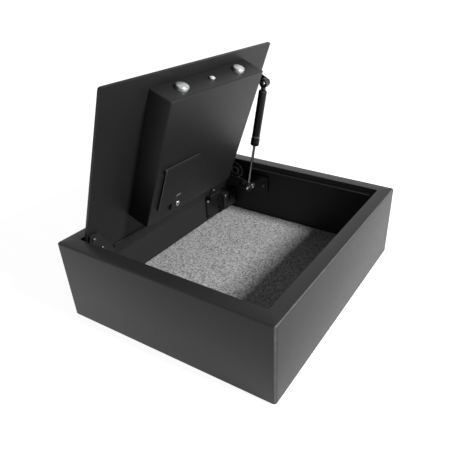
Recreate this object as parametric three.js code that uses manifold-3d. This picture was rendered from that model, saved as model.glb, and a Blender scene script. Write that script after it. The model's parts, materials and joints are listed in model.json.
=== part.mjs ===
// Under desk drawer safe, drawn with its lid standing open
// Millimetres, +Z up, +Y towards the hinge side, origin at the centre of the base
import * as THREE from 'three';
import { mergeVertices } from 'three/addons/utils/BufferGeometryUtils.js';
import Module from 'manifold-3d';

const wasm = await Module();
wasm.setup();

// Driving dimensions
const bodyWidth = 400;
const bodyDepth = 341;
const bodyHeight = 123;
const bodySheet = 2.5;
const rimSide = 21.5;
const rimFront = 22;
const rimRear = 20.5;
const lidSheet = 3.5;
const lidDrop = 7.5;
const lidOpenAngle = THREE.MathUtils.degToRad(68.8);
const gap = 0.3;
const overrun = 1;

// Body sheet metal
const cornerRadius = 3;
const foldRadius = 2;
const openingRadius = 3;
const fixingHoleRadius = 4.5;
const fixingHoleShareX = 0.6;
const fixingHoleShareY = 0.6;
const floorTop = bodySheet;
const rimUnderside = bodyHeight - bodySheet;
const wallInnerX = bodyWidth / 2 - bodySheet;
const wallInnerY = bodyDepth / 2 - bodySheet;
const openingHalf = bodyWidth / 2 - rimSide;
const openingFront = -bodyDepth / 2 + rimFront;
const openingRear = bodyDepth / 2 - rimRear;

// Hinge line of the lid, well inside the body
const hingeFromRear = 53.1;
const hingeDrop = 47.9;
const hingeY = bodyDepth / 2 - hingeFromRear;
const hingeZ = bodyHeight - hingeDrop;

// Lid plate, in the place it has when the lid is shut
const lidSideClearance = 1.3;
const lidFrontClearance = 1.2;
const lidRearClearance = 3.8;
const lidCornerRadius = 3;
const lidTop = bodyHeight - lidDrop;
const lidUnder = lidTop - lidSheet;
const lidHalf = openingHalf - lidSideClearance;
const lidFront = openingFront + lidFrontClearance;
const lidRear = openingRear - lidRearClearance;
const seatTop = lidUnder - gap;

// Seat frame welded under the rim
const seatSheet = 2;
const ledgeSheet = 1.7;
const ledgeWidth = 4;

// Hinge arms and their bearings
const armSheet = 3;
const armInset = 0.5;
const armBossRadius = 11;
const armNeck = { front: 1.4, step: 4.9 };
const armOuter = openingHalf - ledgeWidth - armInset;
const armInner = armOuter - armSheet;
const ledgeEndClearance = 3;
const ledgeEnd = hingeY - armBossRadius - ledgeEndClearance;
const footWidth = 52;
const footInnerX = armOuter - footWidth;
const footFrontReach = 45.4;
const footRearInset = 2.2;
const footFrontWidth = 14.5;
const footRearDepth = 16;
const footScrewStep = { x: 18, y: 27 };
const footScrewFirst = { inset: 4.5, front: 35.4 };
const footScrewCount = 3;
const bushOuter = 6;
const bushFlange = 7.5;
const bushFlangeSheet = 0.8;
const pinRadius = 4;
const pinShoulder = 6.5;
const pinHeadRadius = 6;
const pinHeadLength = 1.6;

// Hinge plates on the side walls
const hingePlateSheet = 2.5;
const hingePlateCorner = 4;
const hingePlateReach = { front: 43.4, rear: 10, up: 15, down: 20 };
const hingePlateScrewShares = [{ front: 0.779, down: 0.205 }, { front: 0.2, down: 0.68 }];
const hingePlateScrewPlaces = hingePlateScrewShares.map(({ front, down }) => ({
  y: hingeY - front * hingePlateReach.front, z: hingeZ - down * hingePlateReach.down,
}));

// Gas strut on the right
const strutToArm = 6;
const strutX = armInner - strutToArm;
const strutFootFromHinge = { front: 17.4, down: 0.1 };
const strutHeadUnderLid = 17.1;
const strutHeadReachShare = 0.7763;
const strutFoot = { y: hingeY - strutFootFromHinge.front, z: hingeZ - strutFootFromHinge.down };
const strutHeadShut = {
  y: hingeY - (hingeY - lidFront) * strutHeadReachShare,
  z: lidUnder - strutHeadUnderLid,
};
const strutOuter = 7;
const strutBore = 5.2;
const strutCollar = 7.8;
const strutCollarLength = 12;
const strutRodRadius = 3;
const socketRadius = 7.5;
const socketWidth = 9;
const neckRadius = 4;
const neckLength = 12;
const ballRadius = 5;
const studRadius = 3.4;
const studCollarRadius = 6.5;
const studCollarLength = 6;
const studCollarPlace = 12.5;
const cylinderLengthShare = 0.595;
const rodLengthShare = 0.87;
const boreEndShare = 0.1;

// Bolt cover on the inner side of the lid
const coverHalf = 105;
const coverMiddle = 6;
const coverDepth = 35;
const coverFrontInset = 17.5;
const coverRearReach = 41.5;
const coverSheet = 1.5;
const coverCorner = 2;
const coverFront = lidFront + coverFrontInset;
const coverRear = hingeY - coverRearReach;
const coverFace = lidUnder - coverDepth;
const coverInner = coverFace + coverSheet;
const lidSeat = lidUnder - gap;

// Bolts, their guide, and the bar that joins them
const boltRadius = 9;
const boltX = 63;
const boltMiddle = 3.3;
const boltDepth = 17.5;
const boltStand = 5;
const boltTravel = 20;
const boltChamfer = 1.2;
const boltClearance = 0.4;
const boltZ = lidUnder - boltDepth;
const boltTip = coverFront - boltStand;
const boltPlaces = [boltMiddle - boltX, boltMiddle + boltX];
const guideLength = 12;
const guideMargin = 5;
const guideFront = coverFront + coverSheet + gap;
const guideRear = guideFront + guideLength;
const barClearance = 1;
const barSheet = 5;
const barHeight = 13;
const barFront = guideRear + boltTravel + barClearance;
const barRear = barFront + barSheet;

// Rack on the bar and the pinion that drives it
const pinionTeeth = 10;
const pinionRadius = 8;
const pinionWidth = 7.2;
const pinionBore = 2;
const pinionFloorGap = 1.2;
const addendum = 1.3;
const dedendum = 1.7;
const backlash = 0.9;
const flankAngle = THREE.MathUtils.degToRad(20);
const toothPitch = (2 * Math.PI * pinionRadius) / pinionTeeth;
const pinionZ = coverInner + pinionFloorGap + pinionRadius + addendum;
const pinionFromBar = 25;
const pinionY = barRear + pinionFromBar;
const rackTeeth = 9;
const rackFirstTooth = -4;
const rackWidth = 8;
const rackSheet = 5;
const rackRoot = pinionZ + pinionRadius + dedendum;

// Plunger that senses the shut lid
const plungerRadius = 4.5;
const plungerStand = 3;
const plungerTravel = 3;
const plungerCollar = 6.2;
const plungerCollarLength = 1.4;
const plungerTail = 3.2;
const plungerTailInset = 1;

// Gear motor
const motorRadius = 9;
const motorLength = 30;
const motorShaft = 1.7;
const motorFromPinion = 4.4;
const saddleLength = 20;
const saddleHalf = 11;

// Circuit board on four studs
const boardFromRear = 13.9;
const boardToLock = 4;
const boardSize = { width: 54, depth: 44, sheet: 1.6, inset: 4, drop: 12 };
const boardStudRadius = 3;
const boardChip = { width: 16, depth: 12, height: 2.4 };
const boardPlug = { width: 20, depth: 6, height: 7 };

// Battery holder and its cells
const holder = { x: -83, width: 66, depth: 68, height: 17.7, wall: 1.5, lip: 2 };
const holderFromCoverRear = 31.9;
const holderY = coverRear - holderFromCoverRear - holder.depth;
const cellRadius = 7.1;
const cellPitch = 14.6;
const wrapHalf = 6.4;
const cellLength = 50.5;
const cellTipRadius = 2.7;
const cellTipLength = 1.2;
const cellCount = 4;
const cellWrapInset = 3;

// Battery cover, hinged along its front edge
const hatchSheet = 3.2;
const hatchMargin = 1;
const hatchReach = 73;
const hatchTab = { inset: 30, width: 26, reach: 14.5 };
const hatchNotch = { width: 12, depth: 3, inset: 13 };
const hatchLugWidth = 3;
const hatchPinRadius = 0.9;
const hatchAxis = { y: holderY - hatchMargin / 2, z: coverFace - gap - hatchSheet / 2 };
const hatchScrew = { fromAxis: 79, head: 4.5, height: 2.6, shank: 2, length: 6 };
const hatchHoleRadius = 3.4;

// Override lock
const lockFromCoverFront = 119.8;
const lockY = coverFront + lockFromCoverFront;
const lock = { x: 28, y: lockY, radius: 9, bore: 5.8, plug: 5.5, below: 18, above: 2.8 };
const lockNut = { radius: 12, height: 3 };
const board = {
  ...boardSize,
  x: lock.x + lockNut.radius + boardToLock,
  y: coverRear - boardFromRear - boardSize.depth,
};
const lockCam = { reach: 20, half: 3, sheet: 2 };
const keyway = { width: 1.4, height: 7, depth: 6 };

// Keypad on the outer side of the lid
const padHalf = 42;
const padFrontReach = 104;
const padRearReach = 20;
const padHeight = 5.5;
const padCorner = 8;
const padWall = 2;
const padBase = lidTop + gap;
const padTop = padBase + padHeight;
const padFront = lock.y - padFrontReach;
const padRear = lock.y + padRearReach;
const padDeck = padTop - padWall;
const keyWidth = 15;
const keyDepth = 12.5;
const keyPitch = { x: 19, y: 17 };
const keyColumns = 3;
const keyStand = 1.2;
const keyFlange = 0.8;
const keyFlangeSheet = 1.2;
const keyFirstFromLock = 24;
const keyEdge = 0.8;
const lens = { x: -20, width: 18, depth: 8, sheet: 1.5 };
const flap = { radius: 11.5, sheet: 1.2, arm: 15, rivet: 2, rivetLength: 3 };

// Cable grommet in the right wall
const grommet = { fromRear: 24.5, drop: 31, flange: 16.5, tube: 13.2, bore: 9, flangeSheet: 4.5 };
const grommetY = bodyDepth / 2 - grommet.fromRear;
const grommetZ = bodyHeight - grommet.drop;
const plug = { head: 12, stem: 8.7, headSheet: 2.7, dome: 1.6 };

// Clamp block in the rear right corner
const clamp = { fromSide: 5, width: 38, depth: 14, aboveMat: 10.7, underShelf: 4.5, cover: 3.4, ribs: 5 };
const clampRib = { height: 2.6, depth: 1.2, inset: 11, end: 3 };
const clampScrewInset = 5.5;
const clampScrewShares = [0.184, 0.816];

// Stop for the open lid on the rear wall
const stop = { toClamp: 5, width: 32, sheet: 2.5, shelf: 14.7, aboveMat: 4.2, buffer: 4, inset: 2 };
const stopScrew = { inset: 5, underShelf: 2.9, fromEnd: 6 };

// Keeper behind the front wall
const keeper = { sheet: 2.5, setback: 2, side: 32, below: 7.5, clearance: 1.5 };

// Carpet and stiffener
const carpetThickness = 5;
const carpetTop = floorTop + gap + carpetThickness;
const stiffener = { behindHinge: 4.6, rearInset: 0.7, sheet: 1.5 };

// Strut bracket on the lid
const strutBracket = { boss: 6.5, half: 8, foot: 26 };

// Small fasteners
const screw = { head: 3.6, height: 2, shank: 1.9, slotWidth: 1, slotDepth: 0.9, clearance: 0.3 };

// Materials
const paint = (colour, roughness, metalness) =>
  new THREE.MeshStandardMaterial({ color: colour, roughness, metalness });
const bodyPaint = paint(0x54565a, 0.62, 0.2);
const innerPaint = paint(0x3c3e42, 0.65, 0.2);
const blackPaint = paint(0x1b1c1e, 0.5, 0.2);
const chrome = paint(0xd9dbde, 0.16, 1);
const zinc = paint(0xb4b7bb, 0.34, 1);
const brass = paint(0xb08d4a, 0.35, 1);
const blackPlastic = paint(0x141517, 0.45, 0);
const greyPlastic = paint(0xa9acb0, 0.5, 0);
const rubber = paint(0x0e0f10, 0.85, 0);
const carpetGrey = paint(0x85878a, 0.95, 0);
const boardGreen = paint(0x1d5a35, 0.5, 0);
const cellWrap = paint(0x2a5f9e, 0.4, 0.3);
const lensRed = paint(0x5a1012, 0.2, 0);

// Solids from three.js geometries, for joining and cutting
function solid(geometry) {
  const bare = geometry.clone();
  bare.deleteAttribute('normal');
  bare.deleteAttribute('uv');
  const welded = mergeVertices(bare);
  const corners = [];
  for (let i = 0; i < welded.index.count; i += 3) {
    const [a, b, c] = [0, 1, 2].map((k) => welded.index.getX(i + k));
    if (a !== b && b !== c && c !== a) corners.push(a, b, c);
  }
  const data = new wasm.Mesh({
    numProp: 3,
    vertProperties: Float32Array.from(welded.attributes.position.array),
    triVerts: Uint32Array.from(corners),
  });
  return new wasm.Manifold(data);
}

function geometryOf(body) {
  const mesh = body.getMesh();
  const geometry = new THREE.BufferGeometry();
  geometry.setAttribute('position', new THREE.BufferAttribute(mesh.vertProperties, 3));
  geometry.setIndex(new THREE.BufferAttribute(mesh.triVerts, 1));
  geometry.computeVertexNormals();
  return geometry;
}

function piece(parent, name, material, body) {
  const mesh = new THREE.Mesh(geometryOf(body), material);
  mesh.name = name;
  parent.add(mesh);
}

const joined = (bodies) => bodies.reduce((whole, body) => whole.add(body));
const cut = (body, cutters) => cutters.reduce((whole, cutter) => whole.subtract(cutter), body);
const around = (centre, half) => [centre - half, centre + half];

const axisX = new THREE.Vector3(1, 0, 0);
const axisY = new THREE.Vector3(0, 1, 0);
const axisZ = new THREE.Vector3(0, 0, 1);

function block([x0, x1], [y0, y1], [z0, z1]) {
  const box = new THREE.BoxGeometry(x1 - x0, y1 - y0, z1 - z0);
  return solid(box.translate((x0 + x1) / 2, (y0 + y1) / 2, (z0 + z1) / 2));
}

// An outline in the Y Z plane drawn out along X
function sweepX(outline, [x0, x1], curveSegments = 2) {
  const body = new THREE.ExtrudeGeometry(outline, { depth: x1 - x0, bevelEnabled: false, curveSegments });
  body.applyMatrix4(new THREE.Matrix4().makeBasis(axisY, axisZ, axisX));
  return solid(body.translate(x0, 0, 0));
}

// An outline in the X Y plane drawn out along Z
function sweepZ(outline, [z0, z1], curveSegments = 2) {
  const body = new THREE.ExtrudeGeometry(outline, { depth: z1 - z0, bevelEnabled: false, curveSegments });
  return solid(body.translate(0, 0, z0));
}

function rodX(radius, [x0, x1], y, z, sides = 24) {
  const rod = new THREE.CylinderGeometry(radius, radius, x1 - x0, sides);
  return solid(rod.rotateZ(-Math.PI / 2).translate((x0 + x1) / 2, y, z));
}

function rodY(radius, [y0, y1], x, z, sides = 24) {
  const rod = new THREE.CylinderGeometry(radius, radius, y1 - y0, sides);
  return solid(rod.translate(x, (y0 + y1) / 2, z));
}

function rodZ(radius, [z0, z1], x, y, sides = 24) {
  const rod = new THREE.CylinderGeometry(radius, radius, z1 - z0, sides);
  return solid(rod.rotateX(Math.PI / 2).translate(x, y, (z0 + z1) / 2));
}

function ball(radius, x, y, z) {
  return solid(new THREE.SphereGeometry(radius, 16, 10).translate(x, y, z));
}

function roundedOutline([x0, x1], [y0, y1], radius) {
  const outline = new THREE.Shape();
  outline.moveTo(x0 + radius, y0);
  outline.lineTo(x1 - radius, y0);
  outline.absarc(x1 - radius, y0 + radius, radius, -Math.PI / 2, 0, false);
  outline.lineTo(x1, y1 - radius);
  outline.absarc(x1 - radius, y1 - radius, radius, 0, Math.PI / 2, false);
  outline.lineTo(x0 + radius, y1);
  outline.absarc(x0 + radius, y1 - radius, radius, Math.PI / 2, Math.PI, false);
  outline.lineTo(x0, y0 + radius);
  outline.absarc(x0 + radius, y0 + radius, radius, Math.PI, 1.5 * Math.PI, false);
  return outline;
}

const polygon = (points) => new THREE.Shape(points.map(([a, b]) => new THREE.Vector2(a, b)));

// A range of X on one side of the safe: side 1 is right, side -1 is left
const sided = (side, [x0, x1]) => (side > 0 ? [x0, x1] : [-x1, -x0]);

// Where a point of the shut lid lies once the lid stands open
function opened({ y, z }) {
  const turned = new THREE.Vector2(y - hingeY, z - hingeZ).rotateAround(new THREE.Vector2(), -lidOpenAngle);
  return { y: hingeY + turned.x, z: hingeZ + turned.y };
}

// A slotted screw whose head seats at a place and whose shank points in a direction
function screwAt(place, direction, shankLength) {
  const head = rodZ(screw.head, [-screw.height, 0], 0, 0, 20);
  const shank = rodZ(screw.shank, [-screw.height / 2, shankLength], 0, 0, 12);
  const slot = block(
    around(0, screw.head + overrun), around(0, screw.slotWidth / 2),
    [-screw.height - overrun, screw.slotDepth - screw.height],
  );
  const turn = new THREE.Quaternion().setFromUnitVectors(axisZ, direction);
  const shaped = geometryOf(head.add(shank).subtract(slot));
  return solid(shaped.applyQuaternion(turn).translate(...place));
}

// Body shell: floor, four walls and the rim turned in at the top
function bodyShell() {
  const outline = roundedOutline(
    around(0, bodyWidth / 2 - foldRadius), around(0, bodyDepth / 2 - foldRadius), cornerRadius - foldRadius,
  );
  const outside = new THREE.ExtrudeGeometry(outline, {
    depth: bodyHeight - foldRadius - foldRadius,
    bevelThickness: foldRadius,
    bevelSize: foldRadius,
    bevelSegments: 2,
    curveSegments: 2,
  });
  const opening = roundedOutline(around(0, openingHalf), [openingFront, openingRear], openingRadius);
  const fixingX = (bodyWidth / 2) * fixingHoleShareX;
  const fixingY = (bodyDepth / 2) * fixingHoleShareY;
  const holes = [-1, 1].flatMap((sx) => [-1, 1].map((sy) =>
    rodZ(fixingHoleRadius, [-overrun, floorTop + overrun], sx * fixingX, sy * fixingY, 16)));
  return cut(solid(outside.translate(0, 0, foldRadius)), [
    block(around(0, wallInnerX), around(0, wallInnerY), [floorTop, rimUnderside]),
    sweepZ(opening, [rimUnderside - overrun, bodyHeight + overrun]),
    rodX(grommet.tube + gap, [wallInnerX - overrun, bodyWidth / 2 + overrun], grommetY, grommetZ),
    ...holes,
  ]);
}

// Frame under the rim whose narrow ledge the shut lid rests on
function lidSeatFrame() {
  const ledgeUnder = seatTop - ledgeSheet;
  const frame = roundedOutline(
    around(0, openingHalf + seatSheet), [openingFront - seatSheet, openingRear], openingRadius + seatSheet,
  );
  const well = roundedOutline(around(0, openingHalf), [openingFront, openingRear + overrun], openingRadius);
  const inside = roundedOutline(
    around(0, openingHalf - ledgeWidth), [openingFront + ledgeWidth, openingRear + overrun], openingRadius,
  );
  return cut(sweepZ(frame, [ledgeUnder, rimUnderside - gap]), [
    sweepZ(well, [seatTop, bodyHeight]),
    sweepZ(inside, [ledgeUnder - overrun, bodyHeight]),
    block(around(0, bodyWidth / 2), [ledgeEnd, bodyDepth / 2], [0, bodyHeight]),
  ]);
}

// Keeper: the plate behind the front wall whose square holes take the bolts
function keeperPlate() {
  const half = boltX + keeper.side;
  const top = seatTop - ledgeSheet - gap;
  const leafRear = openingFront - keeper.setback;
  const leaf = block(
    around(boltMiddle, half), [leafRear - keeper.sheet, leafRear], [boltZ - boltRadius - keeper.below, top],
  );
  const shelf = block(around(boltMiddle, half), [-wallInnerY + gap, leafRear], [top - keeper.sheet, top]);
  const windowHalf = boltRadius + keeper.clearance;
  const holes = boltPlaces.map((x) => block(
    around(x, windowHalf), [leafRear - keeper.sheet - overrun, leafRear + overrun], around(boltZ, windowHalf),
  ));
  return cut(leaf.add(shelf), holes);
}

function carpetMat() {
  const mat = roundedOutline(around(0, wallInnerX - gap), around(0, wallInnerY - gap), cornerRadius);
  return sweepZ(mat, [floorTop + gap, carpetTop]);
}

// Hinge plate on a side wall: it carries the hinge pin and, on the right, the strut's ball stud
const plateOuter = wallInnerX - gap;
const plateInner = plateOuter - hingePlateSheet;

function hingePlate(side) {
  const outline = roundedOutline(
    [hingeY - hingePlateReach.front, hingeY + hingePlateReach.rear],
    [hingeZ - hingePlateReach.down, hingeZ + hingePlateReach.up], hingePlateCorner,
  );
  const thickness = sided(side, [plateInner - overrun, plateOuter + overrun]);
  const holes = hingePlateScrewPlaces.map(({ y, z }) => rodX(
    screw.shank + screw.clearance, thickness, y, z, 16,
  ));
  return cut(sweepX(outline, sided(side, [plateInner, plateOuter])), holes);
}

function hingePin(side) {
  const headEnd = armInner - gap - bushFlangeSheet - gap;
  return joined([
    rodX(pinShoulder, sided(side, [armOuter + gap, plateInner - gap]), hingeY, hingeZ),
    rodX(pinRadius, sided(side, [headEnd - pinHeadLength / 2, armOuter + overrun]), hingeY, hingeZ, 20),
    rodX(pinHeadRadius, sided(side, [headEnd - pinHeadLength, headEnd]), hingeY, hingeZ),
  ]);
}

function hingePlateScrew() {
  const [{ y, z }] = hingePlateScrewPlaces;
  return screwAt([plateInner - gap, y, z], axisX, hingePlateSheet);
}

// Ball stud: a shank from a face to the ball in the strut's socket
function ballStud(faceX, place) {
  return joined([
    rodX(studRadius, [strutX, faceX], place.y, place.z, 16),
    ball(ballRadius, strutX, place.y, place.z),
  ]);
}

function strutWallStud() {
  const collar = [strutX + studCollarPlace, strutX + studCollarPlace + studCollarLength];
  return ballStud(plateInner - gap, strutFoot)
    .add(rodX(studCollarRadius, collar, strutFoot.y, strutFoot.z, 6));
}

function cableGrommet() {
  const flangeEnd = wallInnerX - gap;
  const flange = rodX(grommet.flange, [flangeEnd - grommet.flangeSheet, flangeEnd], grommetY, grommetZ, 32);
  const tube = rodX(grommet.tube, [flangeEnd - grommet.flangeSheet, bodyWidth / 2], grommetY, grommetZ);
  const bore = [flangeEnd - grommet.flangeSheet - overrun, bodyWidth / 2 + overrun];
  return flange.add(tube).subtract(rodX(grommet.bore, bore, grommetY, grommetZ));
}

function grommetPlug() {
  const seat = wallInnerX - gap - grommet.flangeSheet - gap;
  const profile = [
    [0, seat - plug.headSheet], [plug.head / 2, plug.dome / 2 + seat - plug.headSheet],
    [plug.head, plug.dome + seat - plug.headSheet], [plug.head, seat],
    [plug.stem, seat], [plug.stem, bodyWidth / 2], [0, bodyWidth / 2],
  ];
  const points = profile.map(([r, x]) => new THREE.Vector2(r, x));
  const turned = new THREE.LatheGeometry(points, 28).rotateZ(-Math.PI / 2);
  return solid(turned.translate(0, grommetY, grommetZ));
}

// Stop on the rear wall under the open lid's rear edge
const bufferTop = opened({ y: lidRear, z: lidUnder }).z - gap;
const shelfTop = bufferTop - stop.buffer - gap;
const clampX = [wallInnerX - clamp.fromSide - clamp.width, wallInnerX - clamp.fromSide];
const stopX = [clampX[0] - stop.toClamp - stop.width, clampX[0] - stop.toClamp];
const stopFront = wallInnerY - gap - stop.sheet;
const stopHeight = shelfTop - carpetTop - stop.aboveMat;
const stopScrewX = stopX[0] + stopScrew.inset;
const stopScrewZ = [
  shelfTop - stop.sheet - screw.head - stopScrew.underShelf,
  shelfTop - stopHeight + stopScrew.fromEnd,
];

function lidStopBracket() {
  const leaf = block(stopX, [stopFront, wallInnerY - gap], [shelfTop - stopHeight, shelfTop]);
  const shelfY = [wallInnerY - gap - stop.shelf, wallInnerY - gap];
  const shelf = block(stopX, shelfY, [shelfTop - stop.sheet, shelfTop]);
  const holes = stopScrewZ.map((z) => rodY(
    screw.shank + screw.clearance, [stopFront - overrun, wallInnerY], stopScrewX, z, 16,
  ));
  return cut(leaf.add(shelf), holes);
}

function lidStopBuffer() {
  return block(
    [stopX[0] + stop.inset, stopX[1] - stop.inset],
    [wallInnerY - stop.shelf + stop.inset, wallInnerY - stop.inset], [shelfTop + gap, bufferTop],
  );
}

function lidStopScrew() {
  return screwAt([stopScrewX, stopFront - gap, stopScrewZ[0]], axisY, stop.sheet);
}

// Clamp block in the rear right corner, with a ribbed cover and two screws
const clampZ = [carpetTop + clamp.aboveMat, shelfTop - clamp.underShelf];
const clampFront = wallInnerY - gap - clamp.depth;
const clampScrewX = clampX[0] + clampScrewInset;
const clampScrewZ = clampScrewShares.map((share) => clampZ[0] + (clampZ[1] - clampZ[0]) * share);

function clampHoles(y0, y1) {
  return clampScrewZ.map((z) => rodY(screw.shank + screw.clearance, [y0, y1], clampScrewX, z, 16));
}

function clampBase() {
  const base = block(clampX, [clampFront, wallInnerY - gap], clampZ);
  return cut(base, clampHoles(clampFront - overrun, wallInnerY));
}

const clampFace = clampFront - gap - clamp.cover;

function clampCover() {
  const rib = clampRib;
  const sheet = block(clampX, [clampFace, clampFront - gap], clampZ);
  const pitch = (clampZ[1] - clampZ[0] - rib.end - rib.end - rib.height) / (clamp.ribs - 1);
  const ribs = Array.from({ length: clamp.ribs }, (_, i) => block(
    [clampX[0] + rib.inset, clampX[1] - rib.end], [clampFace - rib.depth, clampFace],
    [clampZ[0] + rib.end + i * pitch, clampZ[0] + rib.end + i * pitch + rib.height],
  ));
  return cut(joined([sheet, ...ribs]), clampHoles(clampFace - overrun, clampFront));
}

function clampScrewPiece() {
  return screwAt([clampScrewX, clampFace - gap, clampScrewZ[1]], axisY, clamp.cover + clamp.depth / 2);
}

// Lid plate with studs for the circuit board
const boardTop = lidUnder - board.drop;
const boardStuds = [board.inset, board.width - board.inset].flatMap((dx) =>
  [board.inset, board.depth - board.inset].map((dy) => ({ x: board.x + dx, y: board.y + dy })));

function lidPlate() {
  const outline = roundedOutline(around(0, lidHalf), [lidFront, lidRear], lidCornerRadius);
  const sheet = sweepZ(outline, [lidUnder, lidTop]);
  const studZ = [boardTop + gap, lidTop - lidSheet / 2];
  const studs = boardStuds.map(({ x, y }) => rodZ(boardStudRadius, studZ, x, y, 12));
  const lockHole = rodZ(lock.radius + gap, [lidUnder - overrun, lidTop + overrun], lock.x, lock.y);
  const wireHole = rodZ(lens.depth / 2, [lidUnder - overrun, lidTop + overrun], lens.x, lock.y, 16);
  return cut(joined([sheet, ...studs]), [lockHole, wireHole]);
}

function lidStiffener() {
  return block(
    around(0, footInnerX - gap), [hingeY + stiffener.behindHinge, lidRear - stiffener.rearInset],
    [lidSeat - stiffener.sheet, lidSeat],
  );
}

// Hinge arm: a cheek with the bearing boss and a foot screwed to the lid plate
const footZ = [lidSeat - armSheet, lidSeat];
const footY = [hingeY - footFrontReach, lidRear - footRearInset];
const footScrews = Array.from({ length: footScrewCount }, (_, i) => ({
  x: armInner - footScrewFirst.inset - i * footScrewStep.x,
  y: hingeY - footScrewFirst.front + i * footScrewStep.y,
}));

function hingeArm(side) {
  const cheek = new THREE.Shape();
  cheek.moveTo(hingeY + armBossRadius, hingeZ);
  cheek.lineTo(hingeY + armBossRadius, hingeZ + armBossRadius);
  cheek.lineTo(footY[1], footZ[0]);
  cheek.lineTo(footY[1], footZ[1]);
  cheek.lineTo(hingeY - armNeck.front, footZ[1]);
  cheek.lineTo(hingeY - armNeck.front, footZ[0]);
  cheek.lineTo(hingeY - armBossRadius, hingeZ + armNeck.step);
  cheek.lineTo(hingeY - armBossRadius, hingeZ);
  cheek.absarc(hingeY, hingeZ, armBossRadius, Math.PI, 2 * Math.PI, false);
  const foot = polygon([
    [side * armOuter, footY[0]], [side * armOuter, footY[1]], [side * footInnerX, footY[1]],
    [side * footInnerX, footY[1] - footRearDepth], [side * (armOuter - footFrontWidth), footY[0]],
  ]);
  const holes = footScrews.map(({ x, y }) => rodZ(
    screw.shank + screw.clearance, [footZ[0] - overrun, footZ[1] + overrun], side * x, y, 12,
  ));
  const bearing = rodX(
    bushOuter + gap, sided(side, [armInner - overrun, armOuter + overrun]), hingeY, hingeZ, 28,
  );
  const arm = sweepX(cheek, sided(side, [armInner, armOuter]), 6).add(sweepZ(foot, footZ));
  return cut(arm, [bearing, ...holes]);
}

function hingeBush(side) {
  const flangeOuter = armInner - gap;
  const flangeInner = flangeOuter - bushFlangeSheet;
  const tube = rodX(bushOuter, sided(side, [flangeInner, armOuter]), hingeY, hingeZ, 28);
  const flange = rodX(bushFlange, sided(side, [flangeInner, flangeOuter]), hingeY, hingeZ, 28);
  const bore = sided(side, [flangeInner - overrun, armOuter + overrun]);
  return tube.add(flange).subtract(rodX(pinRadius + gap, bore, hingeY, hingeZ, 20));
}

function hingeArmScrew() {
  const { x, y } = footScrews[footScrewCount - 1];
  return screwAt([x, y, footZ[0] - gap], axisZ, armSheet);
}

// Bracket on the lid that carries the strut's upper ball stud
function strutLidBracket() {
  const { y, z } = strutHeadShut;
  const leaf = new THREE.Shape();
  leaf.moveTo(y + strutBracket.boss, z);
  leaf.lineTo(y + strutBracket.half, footZ[0]);
  leaf.lineTo(y + strutBracket.half, footZ[1]);
  leaf.lineTo(y - strutBracket.half, footZ[1]);
  leaf.lineTo(y - strutBracket.half, footZ[0]);
  leaf.lineTo(y - strutBracket.boss, z);
  leaf.absarc(y, z, strutBracket.boss, Math.PI, 2 * Math.PI, false);
  const foot = block([armOuter - strutBracket.foot, armOuter], around(y, strutBracket.half), footZ);
  return sweepX(leaf, [armInner, armOuter], 6).add(foot);
}

// Bolt cover: the box over the locking parts, open towards the lid plate
const windowX = [holder.x + holder.lip, holder.x + holder.width - holder.lip];
const windowY = [holderY + holder.lip, holderY + holder.depth - holder.lip];
const hatchX = [holder.x - hatchMargin, holder.x + holder.width + hatchMargin];
const hatchScrewPlace = {
  x: hatchX[0] + hatchTab.inset + hatchTab.width / 2,
  y: hatchAxis.y + hatchScrew.fromAxis,
};

function boltCover() {
  const wall = coverSheet;
  const outside = roundedOutline(around(coverMiddle, coverHalf), [coverFront, coverRear], coverCorner);
  const inside = roundedOutline(
    around(coverMiddle, coverHalf - wall), [coverFront + wall, coverRear - wall], coverCorner - wall / 2,
  );
  const front = [coverFront - overrun, coverFront + wall + overrun];
  const lugs = [hatchX[0] - gap - hatchLugWidth, hatchX[1] + gap].map((x) => block(
    [x, x + hatchLugWidth], around(hatchAxis.y, hatchSheet / 2), [hatchAxis.z - hatchSheet / 2, coverInner],
  ));
  const shell = joined([sweepZ(outside, [coverFace, lidSeat]), ...lugs]);
  return cut(shell, [
    sweepZ(inside, [coverInner, lidSeat + overrun]),
    block(windowX, windowY, [coverFace - overrun, coverInner + overrun]),
    rodZ(hatchHoleRadius, [coverFace - overrun, coverInner + overrun], hatchScrewPlace.x, hatchScrewPlace.y),
    ...boltPlaces.map((x) => rodY(boltRadius + boltClearance, front, x, boltZ, 28)),
    rodY(plungerRadius + gap, front, boltMiddle, boltZ),
    ...[hatchX[0] - gap, hatchX[1] + gap].map((x) => rodX(
      hatchPinRadius + gap, around(x, hatchLugWidth / 2 + gap), hatchAxis.y, hatchAxis.z, 12,
    )),
  ]);
}

// Guide block with a bore for each bolt and for the plunger
function boltGuide() {
  const z = [boltZ - boltRadius - guideMargin / 2, lidSeat];
  const guide = block(around(boltMiddle, boltX + boltRadius + guideMargin), [guideFront, guideRear], z);
  const through = [guideFront - overrun, guideRear + overrun];
  const collarRoom = [guideFront - overrun, guideFront + plungerCollarLength + plungerTravel + gap];
  return cut(guide, [
    ...boltPlaces.map((x) => rodY(boltRadius + boltClearance, through, x, boltZ, 28)),
    rodY(plungerTail + gap, through, boltMiddle, boltZ),
    rodY(plungerCollar + gap, collarRoom, boltMiddle, boltZ),
  ]);
}

function lockBolt(x) {
  const end = barFront - gap;
  const profile = [
    [0, boltTip], [boltRadius - boltChamfer, boltTip], [boltRadius, boltTip + boltChamfer],
    [boltRadius, end], [0, end],
  ];
  const points = profile.map(([r, y]) => new THREE.Vector2(r, y));
  return solid(new THREE.LatheGeometry(points, 28).translate(x, 0, boltZ));
}

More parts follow.
